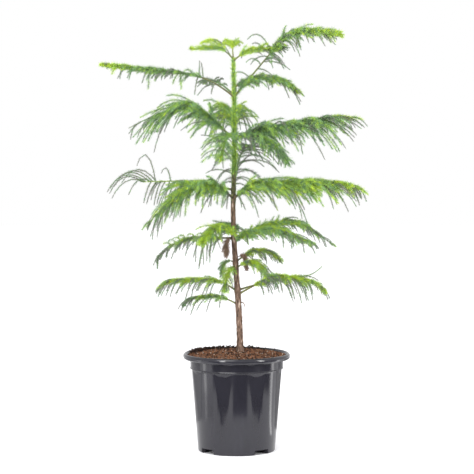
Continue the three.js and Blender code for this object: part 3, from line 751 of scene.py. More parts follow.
def grow(frond, seed):
    """Branchlets in two ranks with the frond's strays, as the solids have them but finer."""
    random = np.random.default_rng(GROWTH_SEED + seed)
    axis = frond_axis(frond)
    across = heading(frond.turn - 90, 0)
    pairs = max(2, round((frond.reach - frond.bare) / frond.spacing))
    count = 2 * pairs
    sides = np.tile([-1.0, 1.0], pairs)
    places = np.repeat(np.arange(pairs) + 0.5, 2) + RANKS_APART * sides
    places = places + random.uniform(-PLACE_CHANCE, PLACE_CHANCE, count)
    leafy = np.clip(BRANCHLET_LAST * places / pairs, 0, BRANCHLET_LIMIT)
    shares = mix(frond.bare / frond.reach, 1.0, leafy)
    roots, along = on_line(axis, shares)
    over = unit(np.cross(across, along))
    leans = mix(LEAN_BASE, LEAN_TIP, shares) + random.uniform(-ANGLE_CHANCE, ANGLE_CHANCE, count)
    lifts = frond.lift + random.uniform(-ANGLE_CHANCE, ANGLE_CHANCE, count)
    lean, lift = np.radians(leans)[:, None], np.radians(lifts)[:, None]
    starts = np.cos(lean) * along + np.sin(lean) * (
        sides[:, None] * np.cos(lift) * across + np.sin(lift) * over)
    old = random.uniform(0, 1, count) < share_at(frond.old, shares)
    turns = [shares * frond.reach / tuft + random.uniform(0, 1) for tuft in TUFTS]
    waves = [np.sin(2 * math.pi * turn + sides) for turn in turns]
    tufts = mix(TUFT_SHORT, TUFT_LONG, 0.5 + sum(waves) / 4)
    lengths = frond.fan * spread(leafy) * tufts * random.uniform(*LENGTH_CHANCE, count)
    lengths = lengths * np.where(old, OLD_LENGTH, frond.fresh)
    sags = frond.sag * random.uniform(*SAG_CHANCE, count) * np.where(old, OLD_SAG, FRESH_SAG)
    kept = random.uniform(0, 1, count) >= share_at(frond.gone, shares)
    columns = [column[kept] for column in (roots, starts, lengths, sags, shares, old)]
    if frond.strays:
        at, long, turn, rise, sag, aged = zip(*frond.strays)
        strays = (on_line(axis, at)[0], heading(turn, rise), long, sag, at, aged)
        columns = [np.concatenate(both) for both in zip(columns, strays)]
    roots, starts, lengths, sags, shares, old = columns
    return Growth(axis, droop(roots, starts, lengths, sags), lengths, shares, old)


class Needles(NamedTuple):
    """Needles as arrays: their roots, directions, lengths, widths and tone numbers."""

    roots: np.ndarray
    ways: np.ndarray
    lengths: np.ndarray
    widths: np.ndarray
    tones: np.ndarray


def clothe(lines, lengths, radii, size, tilts, tones, random):
    """Needles in a spiral round lines. size: needle gap, length and width.

    radii: of the lines at the root and the tip. tilts: of the needles there. tones gives a tone
    number for the number of each needle's line and its share along it.
    """
    gaps, needle_lengths, needle_width = size
    counts = np.maximum(1, (lengths / gaps).astype(int))
    owners = np.repeat(np.arange(len(lines)), counts)
    ranks = np.arange(len(owners)) - np.repeat(np.cumsum(counts) - counts, counts)
    shares = (ranks + random.uniform(0, 1, len(owners))) / counts[owners]
    steps = lines.shape[1] - 1
    spots = np.clip(shares * steps, 0, steps - 1e-6)
    low = spots.astype(int)
    starts = lines[owners, low]
    spans = lines[owners, low + 1] - starts
    points = starts + spans * (spots - low)[:, None]
    along = unit(spans)
    sides = square_to(along, np.abs(along[:, 2:]) > STEEP)
    overs = np.cross(sides, along)
    count = len(owners)
    turns = ranks * GOLDEN_ANGLE + random.uniform(-NEEDLE_TURN_CHANCE, NEEDLE_TURN_CHANCE, count)
    out = np.cos(turns)[:, None] * sides + np.sin(turns)[:, None] * overs
    tilted = random.uniform(-NEEDLE_TILT_CHANCE, NEEDLE_TILT_CHANCE, count)
    tilt = np.radians(mix(*tilts, shares**TILT_POWER) + tilted)[:, None]
    ways = unit(np.cos(tilt) * along + np.sin(tilt) * out)
    base, end = (np.broadcast_to(radius, len(lines))[owners] for radius in radii)
    roots = points + out * (mix(base, end, shares) * NEEDLE_SUNK)[:, None]
    fade = (1 - NEEDLE_END_LOSS * shares**NEEDLE_END_POWER) * random.uniform(*NEEDLE_LENGTH_CHANCE, count)
    long = np.broadcast_to(needle_lengths, len(lines))[owners] * fade
    wide = needle_width * random.uniform(*NEEDLE_WIDTH_CHANCE, count)
    return Needles(roots, ways, long, wide, tones(owners, shares))


def joined(needles):
    return Needles(*(np.concatenate(columns) for columns in zip(*needles)))


def frond_needles(frond, growth, settings, seed):
    """Needles of a frond: on its branchlets, its stem and, fewer and shorter, its stalk."""
    random = np.random.default_rng(NEEDLE_SEED + seed)
    on_stem, at_ends, at_tip = frond.tones
    rows = len(growth.lines) + 1
    jitter = random.uniform(-SPRAY_CHANCE, SPRAY_CHANCE, (rows, SPRAYS + 1))
    jitter += random.uniform(-BRANCHLET_CHANCE, BRANCHLET_CHANCE, (rows, 1))

    def branchlet_tones(owners, shares):
        places = growth.shares[owners]
        inner = mix(on_stem, at_tip, ease(places, *INNER_TURN))
        # Painted shade: needles nearer the trunk take a deeper tone
        inner += PAINTED_SHADE_TONE * smooth(1 - places / PAINTED_SHADE_REACH)
        outer = mix(at_ends, at_tip, ENDS_SHARE * ease(places, *ENDS_TURN))
        sprays = (shares * SPRAYS).astype(int)
        middles = (sprays + 0.5) / SPRAYS
        fresh = mix(inner, outer, ease(middles, *OUTWARD_TURN))
        return np.where(growth.old[owners], OLD_TONE, fresh) + jitter[owners, sprays]

    def stem_tones(owners, shares):
        places = (owners + shares) / STEM_STRETCHES
        return mix(on_stem, at_tip, ease(places, *STEM_TURN)) + jitter[-1, owners]

    def stalk_tones(owners, shares):
        return on_stem + jitter[-1, (shares * SPRAYS).astype(int)]

    gap = settings.needle_gap / MM
    length = settings.needle_length / MM
    width = settings.needle_width / MM
    twig = settings.twig_radius / MM
    spikes = length * np.where(growth.old, OLD_NEEDLE, 1)
    bare = frond.bare / frond.reach
    edges = np.linspace(bare, 1, STEM_STRETCHES + 1)
    stretches = np.linspace(edges[:-1], edges[1:], FROND_STEPS // STEM_STRETCHES, axis=1)
    leafy = on_line(growth.axis, stretches.ravel())[0].reshape(STEM_STRETCHES, -1, 3)
    leafy_lengths = np.diff(edges) * frond.reach
    stem = (stem_radius(frond, edges[:-1]), stem_radius(frond, edges[1:]))
    stem_needles = length * mix(1.0, STEM_OLD_NEEDLE, share_at(frond.old, edges[:-1]))
    stem_gaps = STEM_GAP * gap / (1 - STEM_THINNED * share_at(frond.gone, edges[:-1]))
    stalk_shares = np.linspace(STALK_FROM, max(STALK_LEAST, bare), FROND_STEPS)
    stalk = on_line(growth.axis, stalk_shares)[0][None]
    stalk_length = np.array([float(frond.bare)])
    stalk_radii = (stem_radius(frond, 0.0), stem_radius(frond, bare))
    stalk_size = (gap * STALK_GAP, length * STALK_NEEDLE, width)
    return joined([
        clothe(growth.lines, growth.lengths, (twig, twig / 2), (gap, spikes, width), BRANCHLET_TILTS,
               branchlet_tones, random),
        clothe(leafy, leafy_lengths, stem, (stem_gaps, stem_needles, width), STEM_TILTS, stem_tones, random),
        clothe(stalk, stalk_length, stalk_radii, stalk_size, STALK_TILTS, stalk_tones, random),
    ])


def trunk_needles(settings, bark):
    """Needles on the young trunk: sparse and short where it is old, dense and long at the top."""
    random = np.random.default_rng(TRUNK_SEED)
    low = trunk_share(bark.brown_top / MM)
    line = trunk_point(np.linspace(low, 1, TRUNK_NEEDLE_STEPS))[None]
    length = np.array([(1 - low) * (TRUNK_TIP - TRUNK_FOOT)])
    radii = (trunk_radius(low), trunk_radius(1.0))
    size = (settings.needle_gap / MM * TRUNK_NEEDLE_GAP, settings.needle_length / MM * TRUNK_NEEDLE,
            settings.needle_width / MM * TRUNK_NEEDLE_WIDTH)
    bands = random.uniform(-TRUNK_BAND_CHANCE, TRUNK_BAND_CHANCE, int(length[0] / TRUNK_BAND) + 1)

    def tones(owners, shares):
        banded = bands[(shares * length[0] / TRUNK_BAND).astype(int)]
        mean = mix(TRUNK_OLD_TONE + banded, TRUNK_YOUNG_TONE, ease(shares, *TRUNK_TONE_TURN))
        return mean + random.uniform(-TRUNK_TONE_CHANCE, TRUNK_TONE_CHANCE, len(shares))

    needles = clothe(line, length, radii, size, TRUNK_TILTS, tones, random)
    young = ease((needles.roots[:, 2] - line[0, 0, 2]) / length, *TRUNK_YOUNG_TURN)
    kept = random.uniform(0, 1, len(young)) < mix(*TRUNK_KEPT, young)
    needles = needles._replace(lengths=needles.lengths * mix(*TRUNK_LENGTHS, young))
    return Needles(*(column[kept] for column in needles))


def mesh_object(name, points, faces, material, replaced, slot, smooth_faces=True):
    """A piece from arrays of points in millimetres and of faces with equal corner counts."""
    faces = np.asarray(faces, np.int32)
    corners = faces.shape[1]
    mesh = bpy.data.meshes.new(name)
    mesh.vertices.add(len(points))
    mesh.vertices.foreach_set("co", (np.asarray(points, np.float64) * MM).astype(np.float32).ravel())
    mesh.loops.add(faces.size)
    mesh.loops.foreach_set("vertex_index", faces.ravel())
    mesh.polygons.add(len(faces))
    mesh.polygons.foreach_set("loop_start", np.arange(0, faces.size, corners, dtype=np.int32))
    mesh.polygons.foreach_set("use_smooth", np.full(len(faces), smooth_faces))
    mesh.update(calc_edges=True)
    if mesh.validate():
        raise RuntimeError(f"{name}: the mesh had faults")
    piece = bpy.data.objects.new(name, mesh)
    bpy.context.collection.objects.link(piece)
    mesh.materials.append(material)
    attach(piece, BODY)
    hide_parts(*replaced)
    return piece


def needle_mesh(needles):
    """Points and faces of needles, each a slim three-sided spike."""
    sides = square_to(needles.ways, np.abs(needles.ways[:, 2:]) > STEEP)
    overs = np.cross(needles.ways, sides)
    half = (needles.widths / 2)[:, None]
    corners = [
        needles.roots + half * (math.cos(angle) * sides + math.sin(angle) * overs)
        for angle in np.radians([90, 210, 330])
    ]
    corners.append(needles.roots + needles.ways * needles.lengths[:, None])
    points = np.stack(corners, axis=1).reshape(-1, 3)
    spike = np.array([[0, 1, 3], [1, 2, 3], [2, 0, 3]])
    faces = (np.arange(len(needles.roots))[:, None, None] * 4 + spike).reshape(-1, 3)
    return points, faces


def round_points(radii, turns, heights):
    """Points about the pot's middle. turns: off the front, in radians."""
    points = np.broadcast_arrays(radii * np.sin(turns), -radii * np.cos(turns), heights)
    return np.stack(points, axis=-1)


def grid_faces(rows, columns):
    """Four-cornered faces between rows of points that close round."""
    row = np.arange(rows - 1)[:, None] * columns
    column = np.arange(columns)
    after = (column + 1) % columns
    corners = [row + column, row + after, row + columns + after, row + columns + column]
    return np.stack(corners, axis=-1).reshape(-1, 4)


def tubes(lines, radii, sides):
    """Points and four-cornered faces of tubes along lines with equal point counts."""
    along = unit(np.gradient(lines, axis=1))
    across = square_to(along, np.abs(along[..., 2:]).max(axis=1, keepdims=True) > TUBE_STEEP)
    overs = np.cross(across, along)
    angles = np.arange(sides) * 2 * math.pi / sides
    ring = across[:, :, None] * np.cos(angles)[:, None] + overs[:, :, None] * np.sin(angles)[:, None]
    points = lines[:, :, None] + ring * radii[:, :, None, None]
    count, rows = lines.shape[:2]
    faces = np.arange(count)[:, None, None] * rows * sides + grid_faces(rows, sides)
    return points.reshape(-1, 3), faces.reshape(-1, 4)


def stacked(shapes):
    """Several points and faces as one."""
    points, faces, offset = [], [], 0
    for some_points, some_faces in shapes:
        points.append(some_points)
        faces.append(some_faces + offset)
        offset += len(some_points)
    return np.vstack(points), np.vstack(faces)


def relief(points, scale, stretch):
    """Bark noise from about -1 to 1 at points, drawn out upwards."""
    return np.array([
        noise.fractal(Vector((x / scale, y / scale, z / (scale * stretch))), *FRACTAL)
        for x, y, z in points
    ])


def new_material(name):
    """A material, its node tree and its shader."""
    material = bpy.data.materials.new(name)
    material.use_nodes = True
    return material, material.node_tree, material.node_tree.nodes["Principled BSDF"]


def set_inputs(node, values):
    for name, value in values.items():
        node.inputs[name].default_value = value


def add_node(tree, kind, values):
    """A node of a kind with values for its inputs."""
    node = tree.nodes.new(f"ShaderNode{kind}")
    set_inputs(node, values)
    return node


def add_noise(tree, scale, detail, stretch=(1.0, 1.0, 1.0)):
    """A noise texture in object space, stretched along the axes."""
    place = add_node(tree, "TexCoord", {})
    mapping = add_node(tree, "Mapping", {"Scale": stretch})
    texture = add_node(tree, "TexNoise", {"Scale": scale, "Detail": detail})
    tree.links.new(place.outputs["Object"], mapping.inputs["Vector"])
    tree.links.new(mapping.outputs["Vector"], texture.inputs["Vector"])
    return texture.outputs["Fac"]


def add_colours(tree, shader, factor, stops):
    """A colour ramp with stops of place and colour, into the shader's base colour."""
    ramp = add_node(tree, "ValToRGB", {})
    elements = ramp.color_ramp.elements
    while len(elements) < len(stops):
        elements.new(0.5)
    for element, (place, colour) in zip(elements, stops):
        element.position = place
        element.color = (*colour, 1.0)
    tree.links.new(factor, ramp.inputs["Fac"])
    tree.links.new(ramp.outputs["Color"], shader.inputs["Base Color"])


def add_bump(tree, shader, factor, strength, distance):
    bump = add_node(tree, "Bump", {"Strength": strength, "Distance": distance})
    tree.links.new(factor, bump.inputs["Height"])
    tree.links.new(bump.outputs["Normal"], shader.inputs["Normal"])


def add_roughness(tree, shader, factor, low, high):
    span = add_node(tree, "MapRange", {"To Min": low, "To Max": high})
    tree.links.new(factor, span.inputs["Value"])
    tree.links.new(span.outputs["Result"], shader.inputs["Roughness"])


def shade(colour, factor):
    return tuple(min(1.0, channel * factor) for channel in colour)


def needle_material(tone, colour):
    """Waxy needles: a tone with small changes from spray to spray and a soft gloss."""
    material, tree, shader = new_material(f"needle_{tone}")
    factor = add_noise(tree, scale=90.0, detail=3.0)
    stops = [(0.3, shade(colour, 0.72)), (0.5, colour), (0.72, shade(colour, 1.25))]
    add_colours(tree, shader, factor, stops)
    add_roughness(tree, shader, factor, low=0.42, high=0.62)
    set_inputs(shader, {"Specular IOR Level": 0.35})
    return material


def bark_material(name, colour, pale, groove, grain=BOUGH_GRAIN):
    """Bark: streaked colour with pale flecks, and a bump of fine cracks. grain: scale and stretch."""
    material, tree, shader = new_material(name)
    scale, stretch = grain
    streaks = add_noise(tree, scale, detail=6.0, stretch=(1.0, 1.0, stretch))
    stops = [(0.36, groove), (0.47, colour), (0.57, shade(colour, 1.2)), (0.68, pale)]
    add_colours(tree, shader, streaks, stops)
    cracks = add_noise(tree, scale=900.0, detail=8.0, stretch=(1.0, 1.0, 0.5))
    add_bump(tree, shader, cracks, strength=0.5, distance=0.0006)
    add_roughness(tree, shader, streaks, low=0.7, high=0.95)
    set_inputs(shader, {"Specular IOR Level": 0.25})
    return material


def twig_material(name, colour):
    return bark_material(name, colour, shade(colour, 1.7), shade(colour, 0.5))


def plastic_material(colour):
    """Moulded black plastic: fine grain, faint dust and scuffs, a soft gloss."""
    material, tree, shader = new_material("pot_plastic")
    dust = add_noise(tree, scale=38.0, detail=8.0, stretch=(1.0, 1.0, 0.3))
    stops = [(0.35, colour), (0.62, shade(colour, 1.2)), (0.8, shade(colour, 1.6))]
    add_colours(tree, shader, dust, stops)
    scuffs = add_noise(tree, scale=60.0, detail=6.0, stretch=(1.0, 1.0, 0.2))
    add_roughness(tree, shader, scuffs, low=0.1, high=0.17)
    add_bump(tree, shader, add_noise(tree, scale=700.0, detail=4.0), strength=0.08, distance=0.0004)
    return material


def crumb_material(name, colour):
    """Crumbly soil: mottled, rough and pitted."""
    material, tree, shader = new_material(name)
    mottle = add_noise(tree, scale=240.0, detail=6.0)
    stops = [(0.3, shade(colour, 0.5)), (0.52, colour), (0.75, shade(colour, 1.5))]
    add_colours(tree, shader, mottle, stops)
    add_bump(tree, shader, add_noise(tree, scale=1100.0, detail=6.0), strength=0.7, distance=0.0008)
    set_inputs(shader, {"Roughness": 0.92, "Specular IOR Level": 0.2})
    return material


def stage_material(name, colour, glow):
    material, tree, shader = new_material(name)
    factor = add_noise(tree, scale=2.0, detail=3.0)
    add_colours(tree, shader, factor, [(0.3, shade(colour, 0.985)), (0.7, colour)])
    set_inputs(shader, {"Roughness": 0.8, "Specular IOR Level": 0.2})
    set_inputs(shader, {"Emission Color": WHITE, "Emission Strength": glow})
    return material


def frond_nodes(fronds):
    return [f"frond_{frond.name}" for frond in fronds]


def bough_nodes():
    return [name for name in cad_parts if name.startswith("bough_")]


def panel_depths(angles, z, depth):
    """How deep the flat panels lie behind the pot's round at angles in degrees and a height.

    A panel is flat across. It leaves the round in a point at its foot and lies deepest at its
    top, where a slope leads out of it.
    """
    if not PANEL_FOOT < z < PANEL_TOP:
        return np.zeros_like(angles)
    pitch = 360.0 / RIB_COUNT
    from_middle = np.radians(np.mod(angles - RIB_FROM, pitch) - pitch / 2)
    radius = wall_radius(z)
    plane = radius - depth * ((z - PANEL_FOOT) / (PANEL_TOP - PANEL_FOOT)) ** PANEL_POWER
    flat = radius - plane / np.cos(from_middle)
    slope = (PANEL_TOP - z) * PANEL_SLOPE
    blend = np.clip(0.5 + (slope - flat) / (2 * PANEL_BLEND), 0, 1)
    inside = mix(slope, flat, blend) - PANEL_BLEND * blend * (1 - blend)
    eased = np.maximum(0, inside + PANEL_BLEND) ** 2 / (4 * PANEL_BLEND)
    return np.where(inside > PANEL_BLEND, inside, eased)


def wall_radius(z):
    """Radius of the round wall at a height."""
    return POT_FOOT_RADIUS + (POT_BODY_RADIUS - POT_FOOT_RADIUS) * z / POT_BODY_TOP


def in_drain(angles):
    pitch = 360.0 / DRAIN_COUNT
    from_drain = np.mod(angles - DRAIN_FROM + pitch / 2, pitch) - pitch / 2
    return np.abs(from_drain) < DRAIN_HALF


def pot_rows():
    """The pot's section in radii and heights: from under its middle out, up, over the lip and down inside.

    Also the number of rows up to the top of the panels.
    """
    body = [1.5, 4.0, DRAIN_HEIGHT - 0.2, DRAIN_HEIGHT + 0.2, 12.0]
    body += list(np.arange(18.0, 150.0, 6.0)) + list(np.arange(150.0, PANEL_TOP + 0.1, 1.6))
    outside = [(0.5, RECESS), (40.0, RECESS), (77.0, RECESS), (78.0, 0.4), (79.0, 0.0), (88.0, 0.0),
               (89.2, 0.3)]
    outside += [(wall_radius(z), z) for z in body]
    shoulder = [
        (POT_BODY_RADIUS + 0.4, 191.8), (POT_NECK_FOOT - 0.1, 193.4), (POT_NECK_FOOT, 194.0),
        (POT_NECK_RADIUS - 0.3, 196.0), (POT_NECK_RADIUS - 0.1, 210.8), (POT_NECK_RADIUS, 212.4),
        (POT_NECK_RADIUS + 0.7, 214.2), (POT_NECK_RADIUS + 2.2, 214.9), (118.0, POT_LIP_FOOT),
    ]
    lip_middle = (POT_LIP_FOOT + POT_HEIGHT) / 2
    lip = []
    for degrees in (-90, -70, -50, -30, -12, 12, 30, 50, 70, 90):
        angle = math.radians(degrees)
        rise = math.copysign(abs(math.sin(angle))**LIP_ROUND, angle)
        lip.append((POT_LIP_RADIUS - LIP_BULGE * (1 - math.cos(angle)),
                    lip_middle + rise * (POT_HEIGHT - lip_middle)))
    inside = [(POT_MOUTH_RADIUS + 0.8, POT_HEIGHT), (POT_MOUTH_RADIUS, POT_HEIGHT - 0.8),
              (115.6, 220.0), (106.6, 213.4), (101.8, 192.4), (86.6, 14.0), (0.5, 14.0)]
    return outside + shoulder + lip + inside, len(outside)


class POTTEDPINE_OT_pot(Operator):
    """Nursery pot with flat panels between ribs, drain notches and a rolled lip"""

    bl_idname = "pottedpine.pot"
    bl_label = "Nursery Pot"

    def execute(self, context):
        settings = context.scene.pottedpine_pot
        rows, body_rows = pot_rows()
        angles = np.arange(POT_COLUMNS) * 360.0 / POT_COLUMNS
        drains = in_drain(angles)
        rings = []
        for number, (radius, z) in enumerate(rows):
            radii = np.full(POT_COLUMNS, radius)
            heights = np.full(POT_COLUMNS, z)
            if number < body_rows and radius > DRAIN_INNER:
                radii = radii - panel_depths(angles, z, settings.panel_depth / MM)
                heights = np.where(drains, np.maximum(heights, DRAIN_HEIGHT), heights)
            rings.append(round_points(radii, np.radians(angles), heights))
        faces = grid_faces(len(rows), POT_COLUMNS)
        pot = mesh_object("pot_shell", np.vstack(rings), faces, plastic_material(settings.plastic),
                          ["pot"], "pot_plastic")
        pot.data.set_sharp_from_angle(angle=math.radians(POT_SHARP_ANGLE))
        return {"FINISHED"}


def soil_heights(radii):
    share = np.clip((SOIL_RIM - radii) / (SOIL_RIM - SOIL_FLAT_RADIUS), 0, 1)
    return SOIL_EDGE + (SOIL_TOP - SOIL_EDGE) * np.sin(share * math.pi / 2)


def random_turns(count, random):
    """Rotation matrices from random unit quaternions."""
    x, y, z, w = unit(random.normal(size=(count, 4))).T
    return np.stack([
        np.stack([1 - 2 * (y * y + z * z), 2 * (x * y - z * w), 2 * (x * z + y * w)], axis=-1),
        np.stack([2 * (x * y + z * w), 1 - 2 * (x * x + z * z), 2 * (y * z - x * w)], axis=-1),
        np.stack([2 * (x * z - y * w), 2 * (y * z + x * w), 1 - 2 * (x * x + y * y)], axis=-1),
    ], axis=1)


def crumb_mesh(centres, sizes, random):
    """Points and faces of crumbs, each a crooked eight-sided lump."""
    lump = np.array([[1, 0, 0], [-1, 0, 0], [0, 1, 0], [0, -1, 0], [0, 0, 1], [0, 0, -1]], float)
    shapes = lump * random.uniform(*CRUMB_CORNERS, (len(centres), len(lump), 1))
    shapes = shapes * sizes[:, None, None] * random.uniform(*CRUMB_SIDES, (len(centres), 1, 3))
    points = np.einsum("nij,nkj->nki", random_turns(len(centres), random), shapes) + centres[:, None]
    above = [[0, 2, 4], [2, 1, 4], [1, 3, 4], [3, 0, 4]]
    below = [[2, 0, 5], [1, 2, 5], [3, 1, 5], [0, 3, 5]]
    faces = np.arange(len(centres))[:, None, None] * len(lump) + np.array(above + below)
    return points.reshape(-1, 3), faces.reshape(-1, 3)


class POTTEDPINE_OT_soil(Operator):
    """Coco peat: a rough dome, crumbs in three colours and loose fibres"""

    bl_idname = "pottedpine.soil"
    bl_label = "Potting Soil"

    def execute(self, context):
        settings = context.scene.pottedpine_pot
        random = np.random.default_rng(SEED)
        self.make_dome(crumb_material("soil_russet", settings.russet))
        count = settings.crumbs
        turns = random.uniform(0, 2 * math.pi, count)
        radii = (SOIL_RIM - CRUMB_MARGIN) * np.sqrt(random.uniform(0, 1, count))
        sizes = np.minimum(random.gamma(CRUMB_SHAPE, CRUMB_SCALE, count) + CRUMB_LEAST, CRUMB_MOST)
        heights = soil_heights(radii) + sizes * random.uniform(*CRUMB_LIFT, count)
        centres = round_points(radii, turns, heights)
        kinds = random.choice(len(CRUMBS), count, p=CRUMB_SHARES)
        sizes = np.where(kinds == CRUMBS.index("pale"), sizes * CRUMB_PALE_SIZE, sizes)
        for kind, name in enumerate(CRUMBS):
            chosen = kinds == kind
            shape = crumb_mesh(centres[chosen], sizes[chosen], random)
            material = crumb_material(f"crumb_{name}", getattr(settings, name))
            mesh_object(f"soil_crumbs_{name}", *shape, material, ["soil"], "soil", smooth_faces=False)
        self.make_clods(crumb_material("soil_clods", settings.dark), random)
        self.make_fibres(settings, random)
        return {"FINISHED"}

    def make_dome(self, material):
        """The soil's body, with a rough top."""
        top = np.linspace(SOIL_MIDDLE, SOIL_RIM, SOIL_ROWS)
        under_radii, under_heights = zip(*SOIL_UNDER)
        radii = np.concatenate([top, under_radii])
        heights = np.concatenate([soil_heights(top), under_heights])
        turns = np.arange(SOIL_COLUMNS) * 2 * math.pi / SOIL_COLUMNS
        points = round_points(radii[:, None], turns, heights[:, None])
        rough = points[:SOIL_ROWS - 1]
        lumps = relief(rough.reshape(-1, 3), *SOIL_LUMPS).reshape(SOIL_ROWS - 1, SOIL_COLUMNS)
        rough[:, :, 2] += SOIL_ROUGHNESS * lumps
        faces = grid_faces(len(radii), SOIL_COLUMNS)[:, [0, 3, 2, 1]]
        mesh_object("soil_body", points.reshape(-1, 3), faces, material, ["soil"], "soil")

    def make_clods(self, material, random):
        """Larger damp clods heaped against the lip at the back, most of them at the left."""
        turns = np.radians(mix(*CLOD_ANGLES, np.sqrt(random.uniform(0, 1, CLOD_COUNT))))
        radii = random.uniform(*CLOD_RADII, CLOD_COUNT)
        sizes = random.uniform(*CLOD_SIZES, CLOD_COUNT)
        heights = soil_heights(radii) + random.uniform(0.0, CLOD_LIFT, CLOD_COUNT)
        shape = crumb_mesh(round_points(radii, turns, heights), sizes, random)
        mesh_object("soil_clods", *shape, material, ["soil"], "soil", smooth_faces=False)

    def make_fibres(self, settings, random):
        count = settings.fibres
        turns = random.uniform(0, 2 * math.pi, count)
        radii = (SOIL_RIM - FIBRE_MARGIN) * np.sqrt(random.uniform(0, 1, count))
        middles = round_points(radii, turns, soil_heights(radii) + FIBRE_LIFT)
        ways = heading(random.uniform(0, 360, count), random.uniform(*FIBRE_SLOPES, count))
        bends = heading(random.uniform(0, 360, count), random.uniform(*FIBRE_BEND_SLOPES, count))
        half = random.uniform(*FIBRE_HALVES, count)[:, None, None]
        along = np.linspace(-1, 1, FIBRE_STEPS)[None, :, None]
        lines = middles[:, None] + ways[:, None] * along * half
        lines = lines + bends[:, None] * (along**2) * half * FIBRE_BEND
        lines = lines[np.hypot(lines[..., 0], lines[..., 1]).max(axis=1) < SOIL_RIM - FIBRE_EDGE]
        shape = tubes(lines, np.full(lines.shape[:2], FIBRE_RADIUS), FIBRE_SIDES)
        material = crumb_material("soil_fibre", shade(settings.russet, 1.8))
        mesh_object("soil_fibres", *shape, material, ["soil"], "soil")


class POTTEDPINE_OT_trunk(Operator):
    """Trunk with ridged bark below and a green stem above, swollen where whorls leave it"""

    bl_idname = "pottedpine.trunk"
    bl_label = "Trunk"

    def execute(self, context):
        settings = context.scene.pottedpine_bark
        points = self.bark_points(settings.relief / MM)
        faces = grid_faces(TRUNK_ROWS, TRUNK_SIDES)
        brown, olive, green = settings.brown, settings.olive, settings.green
        bark = bark_material("bark_brown", brown, BROWN_FLECKS, shade(brown, 0.3), BROWN_GRAIN)
        trunk = mesh_object("trunk_bark", points, faces, bark, ["trunk"], "bark")
        trunk.data.materials.append(bark_material(
            "bark_olive", shade(olive, 0.75), OLIVE_FLECKS, shade(olive, 0.3), YOUNG_GRAIN))
        trunk.data.materials.append(bark_material(
            "stem_green", green, GREEN_FLECKS, shade(green, 0.5), YOUNG_GRAIN))
        first_corners = points[:len(faces)]
        ragged = first_corners[:, 2] + EDGE_HEIGHT * relief(first_corners + EDGES_APART, *EDGES)
        kinds = (ragged > settings.brown_top / MM).astype(np.int32) + (ragged > settings.green_from / MM)
        trunk.data.polygons.foreach_set("material_index", kinds.astype(np.int32))
        return {"FINISHED"}

    def bark_points(self, height):
        """Rings of points up the trunk. height: of the bark's ridges."""
        shares = np.linspace(-TRUNK_SUNK, 1.0, TRUNK_ROWS)
        line = trunk_point(shares)
        angles = np.arange(TRUNK_SIDES) * 2 * math.pi / TRUNK_SIDES
        radii = np.repeat(trunk_radius(shares)[:, None], TRUNK_SIDES, axis=1)
        radii[-TRUNK_CAP_ROWS:] *= np.sqrt(np.linspace(1, TRUNK_CAP_END, TRUNK_CAP_ROWS))[:, None]
        for frond in FRONDS:
            near = np.exp(-(((line[:, 2] - frond.z) / SWELL_HEIGHT) ** 2))
            facing = np.clip(np.cos(angles - math.radians(frond.turn)), 0, 1) ** SWELL_POWER
            radii += SWELL * near[:, None] * facing[None, :]
        ring = np.stack([np.cos(angles), np.sin(angles), np.zeros(TRUNK_SIDES)], axis=-1)
        points = (line[:, None] + ring[None] * radii[..., None]).reshape(-1, 3)
        ridges = relief(points, *RIDGES) + CRACK_SHARE * relief(points + CRACKS_APART, *CRACKS)
        fade = RIDGE_FADE_FROM - (points[:, 2] - TRUNK_FOOT) / RIDGE_FADE_HEIGHT
        push = height * RIDGE_GAIN * ridges * np.clip(fade, RIDGE_LEAST, 1.0)
        return points + np.tile(ring, (TRUNK_ROWS, 1)) * push[:, None]


class POTTEDPINE_OT_boughs(Operator):
    """Bare stalks with bark and a collar at the trunk, and the stems that carry on through the fronds"""

    bl_idname = "pottedpine.boughs"
    bl_label = "Boughs and Stems"

    def execute(self, context):
        bark = context.scene.pottedpine_bark
        foliage = context.scene.pottedpine_foliage
        boughs, stems = [], []
        for frond in FRONDS:
            axis = frond_axis(frond)
            bare = frond.bare / frond.reach
            sunk, overlap = -BOUGH_SUNK / frond.reach, BOUGH_OVERLAP / frond.reach
            boughs.append(self.limb(frond, axis, sunk, bare + overlap, BOUGH_SIDES))
            stems.append(self.limb(frond, axis, bare, 1.0, STEM_SIDES))
        olive = bark_material("bough_bark", bark.olive, shade(bark.brown, 1.2), shade(bark.olive, 0.4))
        mesh_object("boughs_bark", *stacked(boughs), olive, bough_nodes(), "bough_bark")
        green = twig_material("frond_stem", foliage.twig)
        mesh_object("frond_stems", *stacked(stems), green, frond_nodes(FRONDS), "needles")
        return {"FINISHED"}

    def limb(self, frond, axis, start, end, sides):
        """A tapering tube with small ridges along part of a frond's line."""
        steps = max(LIMB_LEAST_STEPS, int(frond.reach * (end - start) / LIMB_STEP))
        shares = np.linspace(start, end, steps)
        points, ways = on_line(axis, np.maximum(shares, 0))
        points = points + ways * (np.minimum(shares, 0) * frond.reach)[:, None]
        distance = np.maximum(shares, 0) * frond.reach
        collar = 1 + COLLAR * np.exp(-distance / COLLAR_LENGTH)
        radii = stem_radius(frond, np.maximum(shares, 0)) * collar
        line_points, faces = tubes(points[None], radii[None], sides)
        centres = np.repeat(points, sides, axis=0)
        push = 1 + LIMB_RELIEF * relief(line_points, *LIMB_RIDGES)
        return centres + (line_points - centres) * push[:, None], faces


